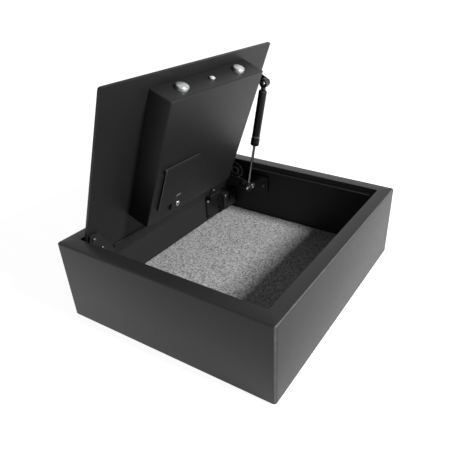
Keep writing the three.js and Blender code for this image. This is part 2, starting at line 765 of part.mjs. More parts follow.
// Bar across both bolts, with the rack that the pinion drives
function boltBar() {
  const half = toothPitch / 4 - backlash / 4;
  const bar = block(
    around(boltMiddle, boltX + boltRadius), [barFront, barRear], around(boltZ, barHeight / 2),
  );
  const firstY = pinionY + (rackFirstTooth - 1) * toothPitch;
  const lastY = pinionY + (rackFirstTooth + rackTeeth) * toothPitch;
  const spine = block(
    around(0, rackWidth / 2), [Math.min(barFront, firstY), lastY], [rackRoot, rackRoot + rackSheet],
  );
  const tip = half - addendum * Math.tan(flankAngle);
  const root = half + (dedendum + overrun) * Math.tan(flankAngle);
  const teeth = Array.from({ length: rackTeeth }, (_, i) => {
    const y = pinionY + (rackFirstTooth + i) * toothPitch;
    const tooth = polygon([
      [y - tip, rackRoot - dedendum - addendum], [y + tip, rackRoot - dedendum - addendum],
      [y + root, rackRoot + overrun], [y - root, rackRoot + overrun],
    ]);
    return sweepX(tooth, around(0, rackWidth / 2));
  });
  return joined([bar, spine, ...teeth]);
}

function drivePinion() {
  const half = toothPitch / 4 - backlash / 4;
  const outline = [];
  for (let i = 0; i < pinionTeeth; i += 1) {
    const middle = Math.PI / 2 + ((i + 0.5) * 2 * Math.PI) / pinionTeeth;
    const flank = [
      [pinionRadius - dedendum, half + dedendum * Math.tan(flankAngle)],
      [pinionRadius, half],
      [pinionRadius + addendum, half - addendum * Math.tan(flankAngle)],
    ];
    const rising = flank.map(([r, t]) => [r, middle - t / r]);
    const falling = flank.map(([r, t]) => [r, middle + t / r]).reverse();
    outline.push(...rising, ...falling);
  }
  const points = outline.map(([r, a]) => [pinionY + r * Math.cos(a), pinionZ + r * Math.sin(a)]);
  const wheel = sweepX(polygon(points), around(0, pinionWidth / 2));
  return wheel.subtract(rodX(pinionBore, around(0, pinionWidth), pinionY, pinionZ, 16));
}

function lidPlunger() {
  const collarFront = guideFront + gap;
  return joined([
    rodY(
      plungerRadius, [coverFront - plungerStand, collarFront + plungerCollarLength / 2], boltMiddle, boltZ,
    ),
    rodY(plungerCollar, [collarFront, collarFront + plungerCollarLength], boltMiddle, boltZ),
    rodY(plungerTail, [collarFront, guideRear - plungerTailInset - plungerTravel], boltMiddle, boltZ, 16),
  ]);
}

const motorX = motorFromPinion + pinionWidth / 2;

function gearMotor() {
  const body = rodX(motorRadius, [motorX, motorX + motorLength], pinionY, pinionZ, 28);
  const shaft = rodX(motorShaft, [-pinionWidth / 2, motorX + overrun], pinionY, pinionZ, 16);
  return body.add(shaft);
}

function motorBracket() {
  const x = around(motorX + motorLength / 2, saddleLength / 2);
  const saddle = block(x, around(pinionY, saddleHalf), [pinionZ, lidSeat]);
  const seat = rodX(motorRadius + gap, [x[0] - overrun, x[1] + overrun], pinionY, pinionZ, 28);
  return saddle.subtract(seat);
}

function circuitBoard() {
  const x = [board.x, board.x + board.width];
  const y = [board.y, board.y + board.depth];
  const chip = block(
    around((x[0] + x[1]) / 2, boardChip.width / 2), around((y[0] + y[1]) / 2, boardChip.depth / 2),
    [boardTop - board.sheet - boardChip.height, boardTop - board.sheet / 2],
  );
  const plugY = [y[0] + board.inset, y[0] + board.inset + boardPlug.depth];
  const plugBlock = block(
    around((x[0] + x[1]) / 2, boardPlug.width / 2), plugY,
    [boardTop - board.sheet - boardPlug.height, boardTop - board.sheet / 2],
  );
  return joined([block(x, y, [boardTop - board.sheet, boardTop]), chip, plugBlock]);
}

// Battery holder, open towards the window in the bolt cover
const holderZ = [coverInner + gap, coverInner + gap + holder.height];

function batteryHolder() {
  const x = [holder.x, holder.x + holder.width];
  const y = [holderY, holderY + holder.depth];
  const pocket = block(
    [x[0] + holder.wall, x[1] - holder.wall], [y[0] + holder.wall, y[1] - holder.wall],
    [holderZ[0] - overrun, holderZ[1] - holder.wall],
  );
  return block(x, y, holderZ).subtract(pocket);
}

// Four round cells in one shrink wrap, every other one turned round
function batteryPack() {
  const z = holderZ[1] - holder.wall - gap - cellRadius;
  const y = around(holderY + holder.depth / 2, cellLength / 2);
  const firstX = holder.x + holder.width / 2 - ((cellCount - 1) * cellPitch) / 2;
  const rearTip = [y[0] + cellWrapInset, y[1] + cellTipLength];
  const frontTip = [y[0] - cellTipLength, y[1] - cellWrapInset];
  const cells = Array.from({ length: cellCount }, (_, i) => {
    const x = firstX + i * cellPitch;
    const tip = rodY(cellTipRadius, i % 2 ? rearTip : frontTip, x, z, 12);
    return rodY(cellRadius, y, x, z, 16).add(tip);
  });
  const lastX = firstX + (cellCount - 1) * cellPitch;
  const wrap = block([firstX, lastX], [y[0] + cellWrapInset, y[1] - cellWrapInset], around(z, wrapHalf));
  return joined([wrap, ...cells]);
}

// Battery cover with a rounded hinge edge, pins, a tab for the screw and a finger notch
function batteryCover() {
  const z = around(hatchAxis.z, hatchSheet / 2);
  const tabX = [hatchX[0] + hatchTab.inset, hatchX[0] + hatchTab.inset + hatchTab.width];
  const sheet = block(hatchX, [hatchAxis.y, hatchAxis.y + hatchReach], z);
  const tab = block(tabX, [hatchAxis.y, hatchAxis.y + hatchReach + hatchTab.reach], z);
  const barrel = rodX(hatchSheet / 2, hatchX, hatchAxis.y, hatchAxis.z, 16);
  const pinX = [hatchX[0] - hatchLugWidth / 2, hatchX[1] + hatchLugWidth / 2];
  const pins = rodX(hatchPinRadius, pinX, hatchAxis.y, hatchAxis.z, 10);
  const notchY = hatchAxis.y + hatchReach - hatchNotch.inset;
  const notch = block(
    around((tabX[0] + tabX[1]) / 2, hatchNotch.width / 2), [notchY, notchY + hatchNotch.depth],
    [z[0] - overrun, z[0] + hatchSheet / 2],
  );
  const { x: holeX, y: holeY } = hatchScrewPlace;
  const hole = rodZ(hatchScrew.shank + gap, [z[0] - overrun, z[1] + overrun], holeX, holeY, 16);
  return cut(joined([sheet, tab, barrel, pins]), [notch, hole]);
}

function coverScrew() {
  const seat = hatchAxis.z - hatchSheet / 2 - gap;
  const { x, y } = hatchScrewPlace;
  const head = rodZ(hatchScrew.head, [seat - hatchScrew.height, seat], x, y);
  const shank = rodZ(hatchScrew.shank, [seat - overrun, seat + hatchScrew.length], x, y, 16);
  const slot = block(
    around(x, hatchScrew.head + overrun), around(y, screw.slotWidth / 2),
    [seat - hatchScrew.height - overrun, seat - hatchScrew.height / 2],
  );
  return head.add(shank).subtract(slot);
}

// Override lock: a cylinder through the lid with a turning plug and cam
function lockCylinder() {
  const z = [lidUnder - lock.below, lidTop + lock.above];
  const tube = rodZ(lock.radius, z, lock.x, lock.y, 28);
  const nut = rodZ(lockNut.radius, [lidSeat - lockNut.height, lidSeat], lock.x, lock.y, 6);
  return tube.add(nut).subtract(rodZ(lock.bore, [z[0] - overrun, z[1] + overrun], lock.x, lock.y));
}

function lockPlug() {
  const bottom = lidUnder - lock.below - gap;
  const top = lidTop + lock.above;
  const barrel = rodZ(lock.plug, [bottom - lockCam.sheet, top], lock.x, lock.y);
  const camX = [lock.x, lock.x + lockCam.reach];
  const cam = block(camX, around(lock.y, lockCam.half), [bottom - lockCam.sheet, bottom]);
  const slot = block(
    around(lock.x, keyway.width / 2), around(lock.y, keyway.height / 2), [top - keyway.depth, top + overrun],
  );
  return barrel.add(cam).subtract(slot);
}

// Keypad housing: a shell over the lid plate with windows for keys, lens and lock
const keys = ['1', '2', '3', '4', '5', '6', '7', '8', '9', 'clear', '0', 'enter'].map((name, i) => ({
  name: `key_${name}`,
  x: ((i % keyColumns) - (keyColumns - 1) / 2) * keyPitch.x,
  y: lock.y - keyFirstFromLock - Math.floor(i / keyColumns) * keyPitch.y,
}));

function keypadHousing() {
  const outside = roundedOutline(around(0, padHalf), [padFront, padRear], padCorner);
  const inside = roundedOutline(
    around(0, padHalf - padWall), [padFront + padWall, padRear - padWall], padCorner - padWall,
  );
  const deck = [padDeck - overrun, padTop + overrun];
  const lensSeat = padTop - lens.sheet - gap;
  return cut(sweepZ(outside, [padBase, padTop]), [
    sweepZ(inside, [padBase - overrun, padDeck]),
    ...keys.map(({ x, y }) => block(around(x, keyWidth / 2 + gap), around(y, keyDepth / 2 + gap), deck)),
    block(
      around(lens.x, lens.width / 2 + gap), around(lock.y, lens.depth / 2 + gap),
      [lensSeat, padTop + overrun],
    ),
    rodZ(lock.radius + gap, deck, lock.x, lock.y, 28),
    rodZ(flap.rivet + gap, deck, lock.x - flap.arm, lock.y, 16),
  ]);
}

function keypadLens() {
  return block(around(lens.x, lens.width / 2), around(lock.y, lens.depth / 2), [padTop - lens.sheet, padTop]);
}

function keypadKey({ x, y }) {
  const flangeTop = padDeck - gap;
  const flangeUnder = flangeTop - keyFlangeSheet;
  const flange = block(
    around(x, keyWidth / 2 + keyFlange), around(y, keyDepth / 2 + keyFlange), [flangeUnder, flangeTop],
  );
  const cap = block(around(x, keyWidth / 2), around(y, keyDepth / 2), [flangeUnder, padTop]);
  const crown = roundedOutline(around(x, keyWidth / 2 - keyEdge), around(y, keyDepth / 2 - keyEdge), keyEdge);
  return joined([flange, cap, sweepZ(crown, [padTop - overrun, padTop + keyStand], 1)]);
}

function keyCover() {
  const z = [padTop + gap, padTop + gap + flap.sheet];
  const disc = rodZ(flap.radius, z, lock.x, lock.y, 28);
  const pivotX = lock.x - flap.arm;
  const arm = block([pivotX, lock.x], around(lock.y, flap.rivet + flap.sheet), z);
  const end = rodZ(flap.rivet + flap.sheet, z, pivotX, lock.y, 16);
  const rivet = rodZ(flap.rivet, [z[1] - flap.rivetLength - flap.sheet, z[1]], pivotX, lock.y, 12);
  return joined([disc, arm, end, rivet]);
}

// Gas strut, drawn upright from the foot ball; its rod slides in the cylinder
const strutHead = opened(strutHeadShut);
const strutSpan = ({ y, z }) => Math.hypot(y - strutFoot.y, z - strutFoot.z);
const strutOpenLength = strutSpan(strutHead);
const strutShutLength = strutSpan(strutHeadShut);

function socket(z, bodies) {
  const ring = rodX(socketRadius, around(0, socketWidth / 2), 0, z);
  return joined([ring, ...bodies]).subtract(rodX(ballRadius + gap, around(0, socketWidth), 0, z));
}

function strutRod() {
  const rodLength = strutShutLength * rodLengthShare;
  return socket(0, [
    rodZ(neckRadius, [socketRadius - neckRadius / 2, neckLength], 0, 0, 16),
    rodZ(strutRodRadius, [neckLength / 2, rodLength], 0, 0, 16),
  ]);
}

function strutCylinder() {
  const low = strutOpenLength - strutShutLength * cylinderLengthShare;
  const high = strutOpenLength - neckLength;
  const boreTop = strutOpenLength - strutShutLength * boreEndShare;
  const whole = socket(strutOpenLength, [
    rodZ(neckRadius, [high - neckRadius, strutOpenLength - socketRadius + neckRadius / 2], 0, 0, 16),
    rodZ(strutOuter, [low, high], 0, 0),
    rodZ(strutCollar, [low, low + strutCollarLength], 0, 0),
  ]);
  return whole.subtract(rodZ(strutBore, [low - overrun, boreTop], 0, 0));
}

// The safe, with everything on the lid turned open about the hinge line
const safe = new THREE.Group();
piece(safe, 'body_shell', bodyPaint, bodyShell());
piece(safe, 'lid_seat_frame', bodyPaint, lidSeatFrame());
piece(safe, 'keeper_plate', innerPaint, keeperPlate());
piece(safe, 'carpet_mat', carpetGrey, carpetMat());
piece(safe, 'hinge_plate_left', blackPaint, hingePlate(-1));
piece(safe, 'hinge_plate_right', blackPaint, hingePlate(1));
piece(safe, 'hinge_pin_left', blackPaint, hingePin(-1));
piece(safe, 'hinge_pin_right', blackPaint, hingePin(1));
piece(safe, 'hinge_plate_screw', zinc, hingePlateScrew());
piece(safe, 'strut_wall_stud', chrome, strutWallStud());
piece(safe, 'cable_grommet', rubber, cableGrommet());
piece(safe, 'grommet_plug', blackPlastic, grommetPlug());
piece(safe, 'clamp_base', blackPaint, clampBase());
piece(safe, 'clamp_cover', innerPaint, clampCover());
piece(safe, 'clamp_screw', chrome, clampScrewPiece());
piece(safe, 'lid_stop_bracket', blackPaint, lidStopBracket());
piece(safe, 'lid_stop_buffer', rubber, lidStopBuffer());
piece(safe, 'lid_stop_screw', chrome, lidStopScrew());

const lidTurn = new THREE.Group();
lidTurn.position.set(0, hingeY, hingeZ);
lidTurn.rotation.x = -lidOpenAngle;
safe.add(lidTurn);
const lid = new THREE.Group();
lid.position.set(0, -hingeY, -hingeZ);
lidTurn.add(lid);
piece(lid, 'lid_plate', bodyPaint, lidPlate());
piece(lid, 'lid_stiffener', bodyPaint, lidStiffener());
piece(lid, 'hinge_arm_left', blackPaint, hingeArm(-1));
piece(lid, 'hinge_arm_right', blackPaint, hingeArm(1));
piece(lid, 'hinge_bush_left', blackPlastic, hingeBush(-1));
piece(lid, 'hinge_bush_right', blackPlastic, hingeBush(1));
piece(lid, 'hinge_arm_screw', zinc, hingeArmScrew());
piece(lid, 'strut_lid_bracket', blackPaint, strutLidBracket());
piece(lid, 'strut_lid_stud', chrome, ballStud(armInner - gap, strutHeadShut));
piece(lid, 'bolt_cover', bodyPaint, boltCover());
piece(lid, 'bolt_guide', innerPaint, boltGuide());
piece(lid, 'bolt_left', chrome, lockBolt(boltPlaces[0]));
piece(lid, 'bolt_right', chrome, lockBolt(boltPlaces[1]));
piece(lid, 'bolt_bar', zinc, boltBar());
piece(lid, 'drive_pinion', brass, drivePinion());
piece(lid, 'lid_plunger', chrome, lidPlunger());
piece(lid, 'gear_motor', zinc, gearMotor());
piece(lid, 'motor_bracket', innerPaint, motorBracket());
piece(lid, 'circuit_board', boardGreen, circuitBoard());
piece(lid, 'battery_holder', blackPlastic, batteryHolder());
piece(lid, 'battery_pack', cellWrap, batteryPack());
piece(lid, 'battery_cover', bodyPaint, batteryCover());
piece(lid, 'cover_screw', chrome, coverScrew());
piece(lid, 'lock_cylinder', chrome, lockCylinder());
piece(lid, 'lock_plug', zinc, lockPlug());
piece(lid, 'keypad_housing', blackPlastic, keypadHousing());
piece(lid, 'keypad_lens', lensRed, keypadLens());
for (const key of keys) piece(lid, key.name, greyPlastic, keypadKey(key));
piece(lid, 'key_cover', blackPlastic, keyCover());

const strut = new THREE.Group();
strut.position.set(strutX, strutFoot.y, strutFoot.z);
strut.rotation.x = Math.atan2(strutFoot.y - strutHead.y, strutHead.z - strutFoot.z);
safe.add(strut);
piece(strut, 'strut_rod', chrome, strutRod());
piece(strut, 'strut_cylinder', blackPaint, strutCylinder());

export default safe;
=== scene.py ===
import json
import math

import bmesh
import bpy
from bpy.props import FloatProperty, FloatVectorProperty, IntProperty, PointerProperty
from mathutils import Matrix, Vector, noise

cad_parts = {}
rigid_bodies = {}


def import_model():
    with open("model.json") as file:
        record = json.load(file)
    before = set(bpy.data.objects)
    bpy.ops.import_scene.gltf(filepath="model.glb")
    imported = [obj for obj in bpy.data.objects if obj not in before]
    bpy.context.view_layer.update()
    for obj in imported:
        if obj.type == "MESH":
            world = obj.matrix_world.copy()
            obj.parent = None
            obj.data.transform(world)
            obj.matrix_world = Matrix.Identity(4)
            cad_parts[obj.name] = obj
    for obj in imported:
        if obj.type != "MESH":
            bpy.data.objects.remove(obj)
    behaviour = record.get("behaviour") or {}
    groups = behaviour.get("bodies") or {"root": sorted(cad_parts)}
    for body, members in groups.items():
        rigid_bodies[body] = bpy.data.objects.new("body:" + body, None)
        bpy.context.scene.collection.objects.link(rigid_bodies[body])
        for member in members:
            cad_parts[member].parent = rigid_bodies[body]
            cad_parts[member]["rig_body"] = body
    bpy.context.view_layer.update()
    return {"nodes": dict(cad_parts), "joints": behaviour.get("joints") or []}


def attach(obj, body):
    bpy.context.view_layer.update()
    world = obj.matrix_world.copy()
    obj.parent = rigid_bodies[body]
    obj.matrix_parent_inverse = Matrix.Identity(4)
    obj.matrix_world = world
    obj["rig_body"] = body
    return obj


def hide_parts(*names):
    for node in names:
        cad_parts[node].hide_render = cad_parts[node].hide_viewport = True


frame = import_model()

bl_info = {
    "name": "Under desk drawer safe",
    "version": (1, 0, 0),
    "blender": (4, 5, 0),
    "location": "View3D > Sidebar > Safe",
    "description": "Dresses the packed model of an under desk drawer safe with its lid open",
    "category": "Object",
}

# Shapes are drawn in millimetres and scaled to metres when they are put in place
MM = 0.001
SHARP = math.radians(38)

# Places that the frame doesn't tell, in millimetres
REAR_RIM = 20.5
SEAT_LEDGE = 2
OPENING_RADIUS = 3
FIXING_HOLES = [(x, y) for x in (-120, 120) for y in (-102.3, 102.3)]
FIXING_HOLE_RADIUS = 4.5
GROMMET_HOLE_RADIUS = 13.5
HINGE_PLATE_FACE = 194.4
HINGE_PLATE_SCREWS = [(83.6, 71.0), (108.7, 61.5)]
PIN_COLLAR = 174.3
ARM_FACE = 108.4
ARM_SCREWS = [(166.5, 82), (148.5, 109), (130.5, 136)]
BALL_RADIUS = 5
SOCKET_NECK = 12
STUD_NUT = (177.5, 183.5)
LOWER_STOP_SCREW = 18
COVER_FACE = 77.0
COVER_SHEET = 1.5
LUG_FOOT = 73.5
DOOR_LENGTH = 73
DOOR_NOTCH = 13
PLUNGER_COLLAR = -127.7
LOCK_NUT = (108.7, 111.7)
CELL_PITCH = 14.6

# How far forward the painted highlight on the body's folds lies, and over what length it fades, in
# metres
FRONT_FOLD = 0.1655
FOLD_FADE = 0.003

# Camera of the photograph: its size, focal length and middle in pixels, its place in metres
PICTURE = 460
FOCAL_LENGTH = 473.37
PICTURE_MIDDLE = (281.56, 243.08)
SENSOR = 36
CAMERA_PLACE = (-0.527539, -0.356554, 0.458356)
CAMERA_RIGHT = Vector((0.48783, -0.872888, 0.009372))
CAMERA_UP = Vector((0.452616, 0.262104, 0.852315))
CAMERA_BACK = Vector((-0.746432, -0.411543, 0.522945))

# Lamps: place and aim in metres, width in metres, power in watts
LAMPS = {
    "key": ((0.05, -1.52, 1.25), (0, 0, 0.05), 0.36, 46),
    "soft box": ((1.6, 0.75, 1.25), (0, 0, 0.2), 0.8, 1.6),
}
FLOOR_REACH = 3200
BACKDROP_BEND = 1600
BACKDROP_TOP = 2000
FLOOR_DROP = 0.2

nodes = frame["nodes"]
joints = {joint["name"]: joint for joint in frame["joints"]}
hinge = Vector(joints["lid_hinge"]["pos_m"]) / MM
lid_angle = math.radians(joints["lid_hinge"]["range_deg"][1])
foot_ball = Vector(joints["strut_foot"]["pos_m"]) / MM
head_ball = Vector(joints["strut_head"]["pos_m"]) / MM
strut_length = (head_ball - foot_ball).length

# Lid pieces are drawn with the lid shut, strut pieces upright from the lower ball
HERE = Matrix.Identity(4)
ON_LID = (Matrix.Translation(hinge) @ Matrix.Rotation(-lid_angle, 4, "X")
          @ Matrix.Translation(-hinge))
strut_lean = math.atan2(foot_ball.y - head_ball.y, head_ball.z - foot_ball.z)
ON_STRUT = Matrix.Translation(foot_ball) @ Matrix.Rotation(strut_lean, 4, "X")


# ---------------------------------------------------------------- settings

def length_setting(name, description, default, low, high):
    return FloatProperty(
        name=name, description=description, default=default, min=low, max=high, unit="LENGTH")


def colour_setting(name, description, default):
    return FloatVectorProperty(
        name=name, description=description, default=default, min=0.0, max=1.0, subtype="COLOR")


class SafeSizes(bpy.types.PropertyGroup):
    wall: length_setting("Wall", "Thickness of the body's steel sheet", 0.0025, 0.001, 0.006)
    corner: length_setting(
        "Corner", "Outer radius of the body's upright corners", 0.0044, 0.0005, 0.01)
    fold: length_setting("Fold", "Outer radius where the sheet is folded", 0.0026, 0.0005, 0.006)
    edge: length_setting(
        "Cut edge", "Rounding left on a cut and painted sheet edge", 0.0005, 0.0001, 0.002)
    pile: length_setting(
        "Pile", "How far the fibres of the mat stand up unevenly", 0.00045, 0.0, 0.002)
    turning_steps: IntProperty(
        name="Turning steps", description="Sides of a round turned piece", default=48,
        min=16, max=96)


class SafeColours(bpy.types.PropertyGroup):
    paint: colour_setting("Body paint", "Charcoal powder coat", (0.0198, 0.0201, 0.0206))
    inner_paint: colour_setting(
        "Inner paint", "Satin paint on the inner brackets", (0.0122, 0.0125, 0.013))
    black_paint: colour_setting(
        "Black paint", "Satin black paint on the strut and the stop", (0.0095, 0.0095, 0.01))
    mat_dark: colour_setting(
        "Mat, dark fibre", "Darkest fibre of the needle felt", (0.05, 0.05, 0.052))
    mat_light: colour_setting(
        "Mat, light fibre", "Lightest fibre of the needle felt", (0.62, 0.62, 0.625))
    key_cap: colour_setting("Key cap", "Grey of the keypad's keys", (0.34, 0.35, 0.36))
    studio: colour_setting("Studio", "White of the floor and backdrop", (0.52, 0.52, 0.52))


# ---------------------------------------------------------------- shapes

def local_box(node, place=HERE):
    """Lowest and highest corner of a CAD node in millimetres, before it is turned by place"""
    back = place.inverted()
    points = [back @ (vertex.co / MM) for vertex in nodes[node].data.vertices]
    low = Vector(min(point[i] for point in points) for i in range(3))
    high = Vector(max(point[i] for point in points) for i in range(3))
    return low, high


def between(low, high):
    return tuple((a + b) / 2 for a, b in zip(low, high))


def middle_of(node, place=HERE):
    """Middle of a CAD node's box, with its place along Y left at zero"""
    x, _, z = between(*local_box(node, place))
    return x, 0, z


def add(shape, other):
    """Adds a second shape to the first"""
    mesh = bpy.data.meshes.new("part of a shape")
    other.to_mesh(mesh)
    other.free()
    shape.from_mesh(mesh)
    bpy.data.meshes.remove(mesh)
    return shape


def spans(low, high, inset=0):
    """The stretch between two corners along X, Y and Z"""
    return [(a + inset, b - inset) for a, b in zip(low, high)]


def block(x, y, z):
    shape = bmesh.new()
    bmesh.ops.create_cube(shape, size=1)
    bmesh.ops.scale(shape, vec=(x[1] - x[0], y[1] - y[0], z[1] - z[0]), verts=shape.verts)
    middle = between((x[0], y[0], z[0]), (x[1], y[1], z[1]))
    bmesh.ops.translate(shape, vec=middle, verts=shape.verts)
    return shape


def soften(shape, edges, radius, segments):
    bmesh.ops.bevel(
        shape, geom=edges, affect="EDGES", offset=radius, offset_type="OFFSET",
        segments=segments, profile=0.5, material=-1)


def level_edges(shape, level):
    return [e for e in shape.edges if all(abs(v.co.z - level) < 0.001 for v in e.verts)]


def upright_edges(shape):
    return [e for e in shape.edges if abs(e.verts[0].co.z - e.verts[1].co.z) > 0.5
            and (e.verts[0].co.xy - e.verts[1].co.xy).length < 0.001]


def pad(x, y, z, corner, edge):
    """Flat block with rounded upright corners and softened top and bottom edges"""
    shape = block(x, y, z)
    soften(shape, upright_edges(shape), corner, 4)
    if edge:
        soften(shape, level_edges(shape, z[0]) + level_edges(shape, z[1]), edge, 3)
    return shape


def tray(x, y, z, corner, fold, folded_top=False):
    """Skin of a box whose top is open, with rounded upright corners and a folded bottom edge"""
    shape = block(x, y, z)
    soften(shape, upright_edges(shape), corner, 4)
    folds = level_edges(shape, z[0]) + (level_edges(shape, z[1]) if folded_top else [])
    soften(shape, folds, fold, 3)
    top = max(shape.faces, key=lambda face: face.calc_center_median().z)
    bmesh.ops.delete(shape, geom=[top], context="FACES_ONLY")
    return shape


def turn_in_rim(shape, x, y, level, radius):
    """Closes the top of a tray down to a rounded opening"""
    mouth = [e for e in shape.edges if e.is_boundary]
    corners = bmesh.ops.create_grid(shape, x_segments=1, y_segments=1, size=0.5)["verts"]
    bmesh.ops.scale(shape, vec=(x[1] - x[0], y[1] - y[0], 1), verts=corners)
    bmesh.ops.translate(shape, vec=((x[0] + x[1]) / 2, (y[0] + y[1]) / 2, level), verts=corners)
    rounded = bmesh.ops.bevel(
        shape, geom=corners, affect="VERTICES", offset=radius, offset_type="OFFSET",
        segments=4, profile=0.5, material=-1)
    sheet = rounded["verts"][0].link_faces[0]
    lip = list(sheet.edges)
    bmesh.ops.delete(shape, geom=[sheet], context="FACES_ONLY")
    bmesh.ops.bridge_loops(shape, edges=mouth + lip)


def joined_at_mouth(outer, inner):
    """One closed sheet from an outer and an inner skin that both end in an open mouth"""
    shape = add(outer, inner)
    bmesh.ops.bridge_loops(shape, edges=[e for e in shape.edges if e.is_boundary])
    bmesh.ops.recalc_face_normals(shape, faces=shape.faces)
    return shape


def arc(centre, radius, start, end, steps=6):
    """Points of (distance from the axis, distance along it) round a centre, angles in degrees"""
    angles = [math.radians(start + (end - start) * i / steps) for i in range(steps + 1)]
    return [(centre[0] + radius * math.cos(a), centre[1] + radius * math.sin(a)) for a in angles]


LYING = {"X": Matrix.Rotation(math.pi / 2, 4, "Y"), "Y": Matrix.Rotation(-math.pi / 2, 4, "X"),
         "Z": HERE}


def lay(shape, axis, middle):
    """Turns a shape that was made along Z to another axis and moves it there"""
    place = Matrix.Translation(middle) @ LYING[axis]
    bmesh.ops.transform(shape, matrix=place, verts=shape.verts)
    return shape


def turned(profile, axis="Z", middle=(0, 0, 0), closed=False, steps=None):
    """Spins a profile of (distance from the axis, distance along it) once round"""
    shape = bmesh.new()
    points = [shape.verts.new((max(radius, 0), 0, along)) for radius, along in profile]
    pairs = list(zip(points, points[1:])) + ([(points[-1], points[0])] if closed else [])
    lines = [shape.edges.new(pair) for pair in pairs]
    bmesh.ops.spin(
        shape, geom=points + lines, axis=(0, 0, 1), cent=(0, 0, 0), angle=math.tau,
        steps=steps or bpy.context.scene.safe_sizes.turning_steps, use_merge=True)
    bmesh.ops.remove_doubles(shape, verts=shape.verts, dist=0.0005)
    bmesh.ops.recalc_face_normals(shape, faces=shape.faces)
    return lay(shape, axis, middle)


def rod(radius, along, axis, middle, chamfer=0.0):
    low, high = along
    profile = [(0, low), (radius - chamfer, low), (radius, low + chamfer),
               (radius, high - chamfer), (radius - chamfer, high), (0, high)]
    return turned(profile, axis, middle)


def hexagon(radius, along, axis, middle):
    """Nut with softened ends"""
    shape = bmesh.new()
    bmesh.ops.create_cone(
        shape, cap_ends=True, segments=6, radius1=radius, radius2=radius,
        depth=along[1] - along[0])
    bmesh.ops.translate(shape, vec=(0, 0, (along[0] + along[1]) / 2), verts=shape.verts)
    ends = level_edges(shape, along[0]) + level_edges(shape, along[1])
    soften(shape, ends, 0.6, 2)
    return lay(shape, axis, middle)


def stood_on(shape):
    """A short-lived object that holds a shape while it is cut"""
    mesh = bpy.data.meshes.new("held shape")
    shape.to_mesh(mesh)
    shape.free()
    held = bpy.data.objects.new("held shape", mesh)
    bpy.context.scene.collection.objects.link(held)
    return held


def put_away(held):
    mesh = held.data
    bpy.data.objects.remove(held)
    bpy.data.meshes.remove(mesh)


def cut_away(shape, *tools):
    """Cuts closed shapes out of a closed shape"""
    work = stood_on(shape)
    for tool in tools:
        cutter = stood_on(tool)
        cutting = work.modifiers.new("cut", "BOOLEAN")
        cutting.operation = "DIFFERENCE"
        cutting.solver = "EXACT"
        cutting.object = cutter
    bpy.context.view_layer.update()
    evaluated = work.evaluated_get(bpy.context.evaluated_depsgraph_get())
    left = bmesh.new()
    left.from_mesh(evaluated.to_mesh())
    evaluated.to_mesh_clear()
    for cutting in list(work.modifiers):
        put_away(cutting.object)
    put_away(work)
    bmesh.ops.remove_doubles(left, verts=left.verts, dist=0.0005)
    if not left.faces:
        raise RuntimeError("a cut left nothing of the shape")
    return left


def copied(node, place=HERE):
    """A merged copy of a CAD node in millimetres, in the frame that place turns"""
    shape = bmesh.new()
    shape.from_mesh(nodes[node].data)
    bmesh.ops.scale(shape, vec=(1 / MM,) * 3, verts=shape.verts)
    bmesh.ops.transform(shape, matrix=place.inverted(), verts=shape.verts)
    bmesh.ops.remove_doubles(shape, verts=shape.verts, dist=0.01)
    bmesh.ops.dissolve_limit(
        shape, angle_limit=math.radians(1), verts=shape.verts, edges=shape.edges)
    return shape


def put(name, shape, finish, node, place=HERE, edge=0.0, segments=2, edge_highlight=None):
    """Puts a finished shape in place of a CAD node and hands it to the frame"""
    bmesh.ops.transform(shape, matrix=place, verts=shape.verts)
    bmesh.ops.scale(shape, vec=(MM,) * 3, verts=shape.verts)
    mesh = bpy.data.meshes.new(name)
    shape.to_mesh(mesh)
    shape.free()
    mesh.materials.append(bpy.data.materials[finish])
    mesh.shade_smooth()
    mesh.set_sharp_from_angle(angle=SHARP)
    piece = bpy.data.objects.new(name, mesh)
    bpy.context.scene.collection.objects.link(piece)
    if edge:
        rounding = piece.modifiers.new("rounded edges", "BEVEL")
        rounding.width = edge * MM
        rounding.segments = segments
        rounding.limit_method = "ANGLE"
        rounding.angle_limit = SHARP
        rounding.harden_normals = True
        # The bevel faces take a second, lighter finish: a painted highlight along the edges
        if edge_highlight:
            mesh.materials.append(bpy.data.materials[edge_highlight])
            rounding.material = 1
    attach(piece, nodes[node]["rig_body"])
    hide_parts(node)
    return piece


def put_copy(node, name, finish, edge, segments=2, edge_highlight=None):
    return put(
        name, copied(node), finish, node, edge=edge, segments=segments, edge_highlight=edge_highlight)


# ---------------------------------------------------------------- finishes

def add_node(tree, kind, inputs=None, **settings):
    """A shader node with its settings, and with a value or a link on each named input"""
    node = tree.nodes.new(f"ShaderNode{kind}")
    for setting, value in settings.items():
        setattr(node, setting, value)
    for socket, value in (inputs or {}).items():
        if isinstance(value, bpy.types.NodeSocket):
            tree.links.new(value, node.inputs[socket])
        else:
            node.inputs[socket].default_value = value
    return node


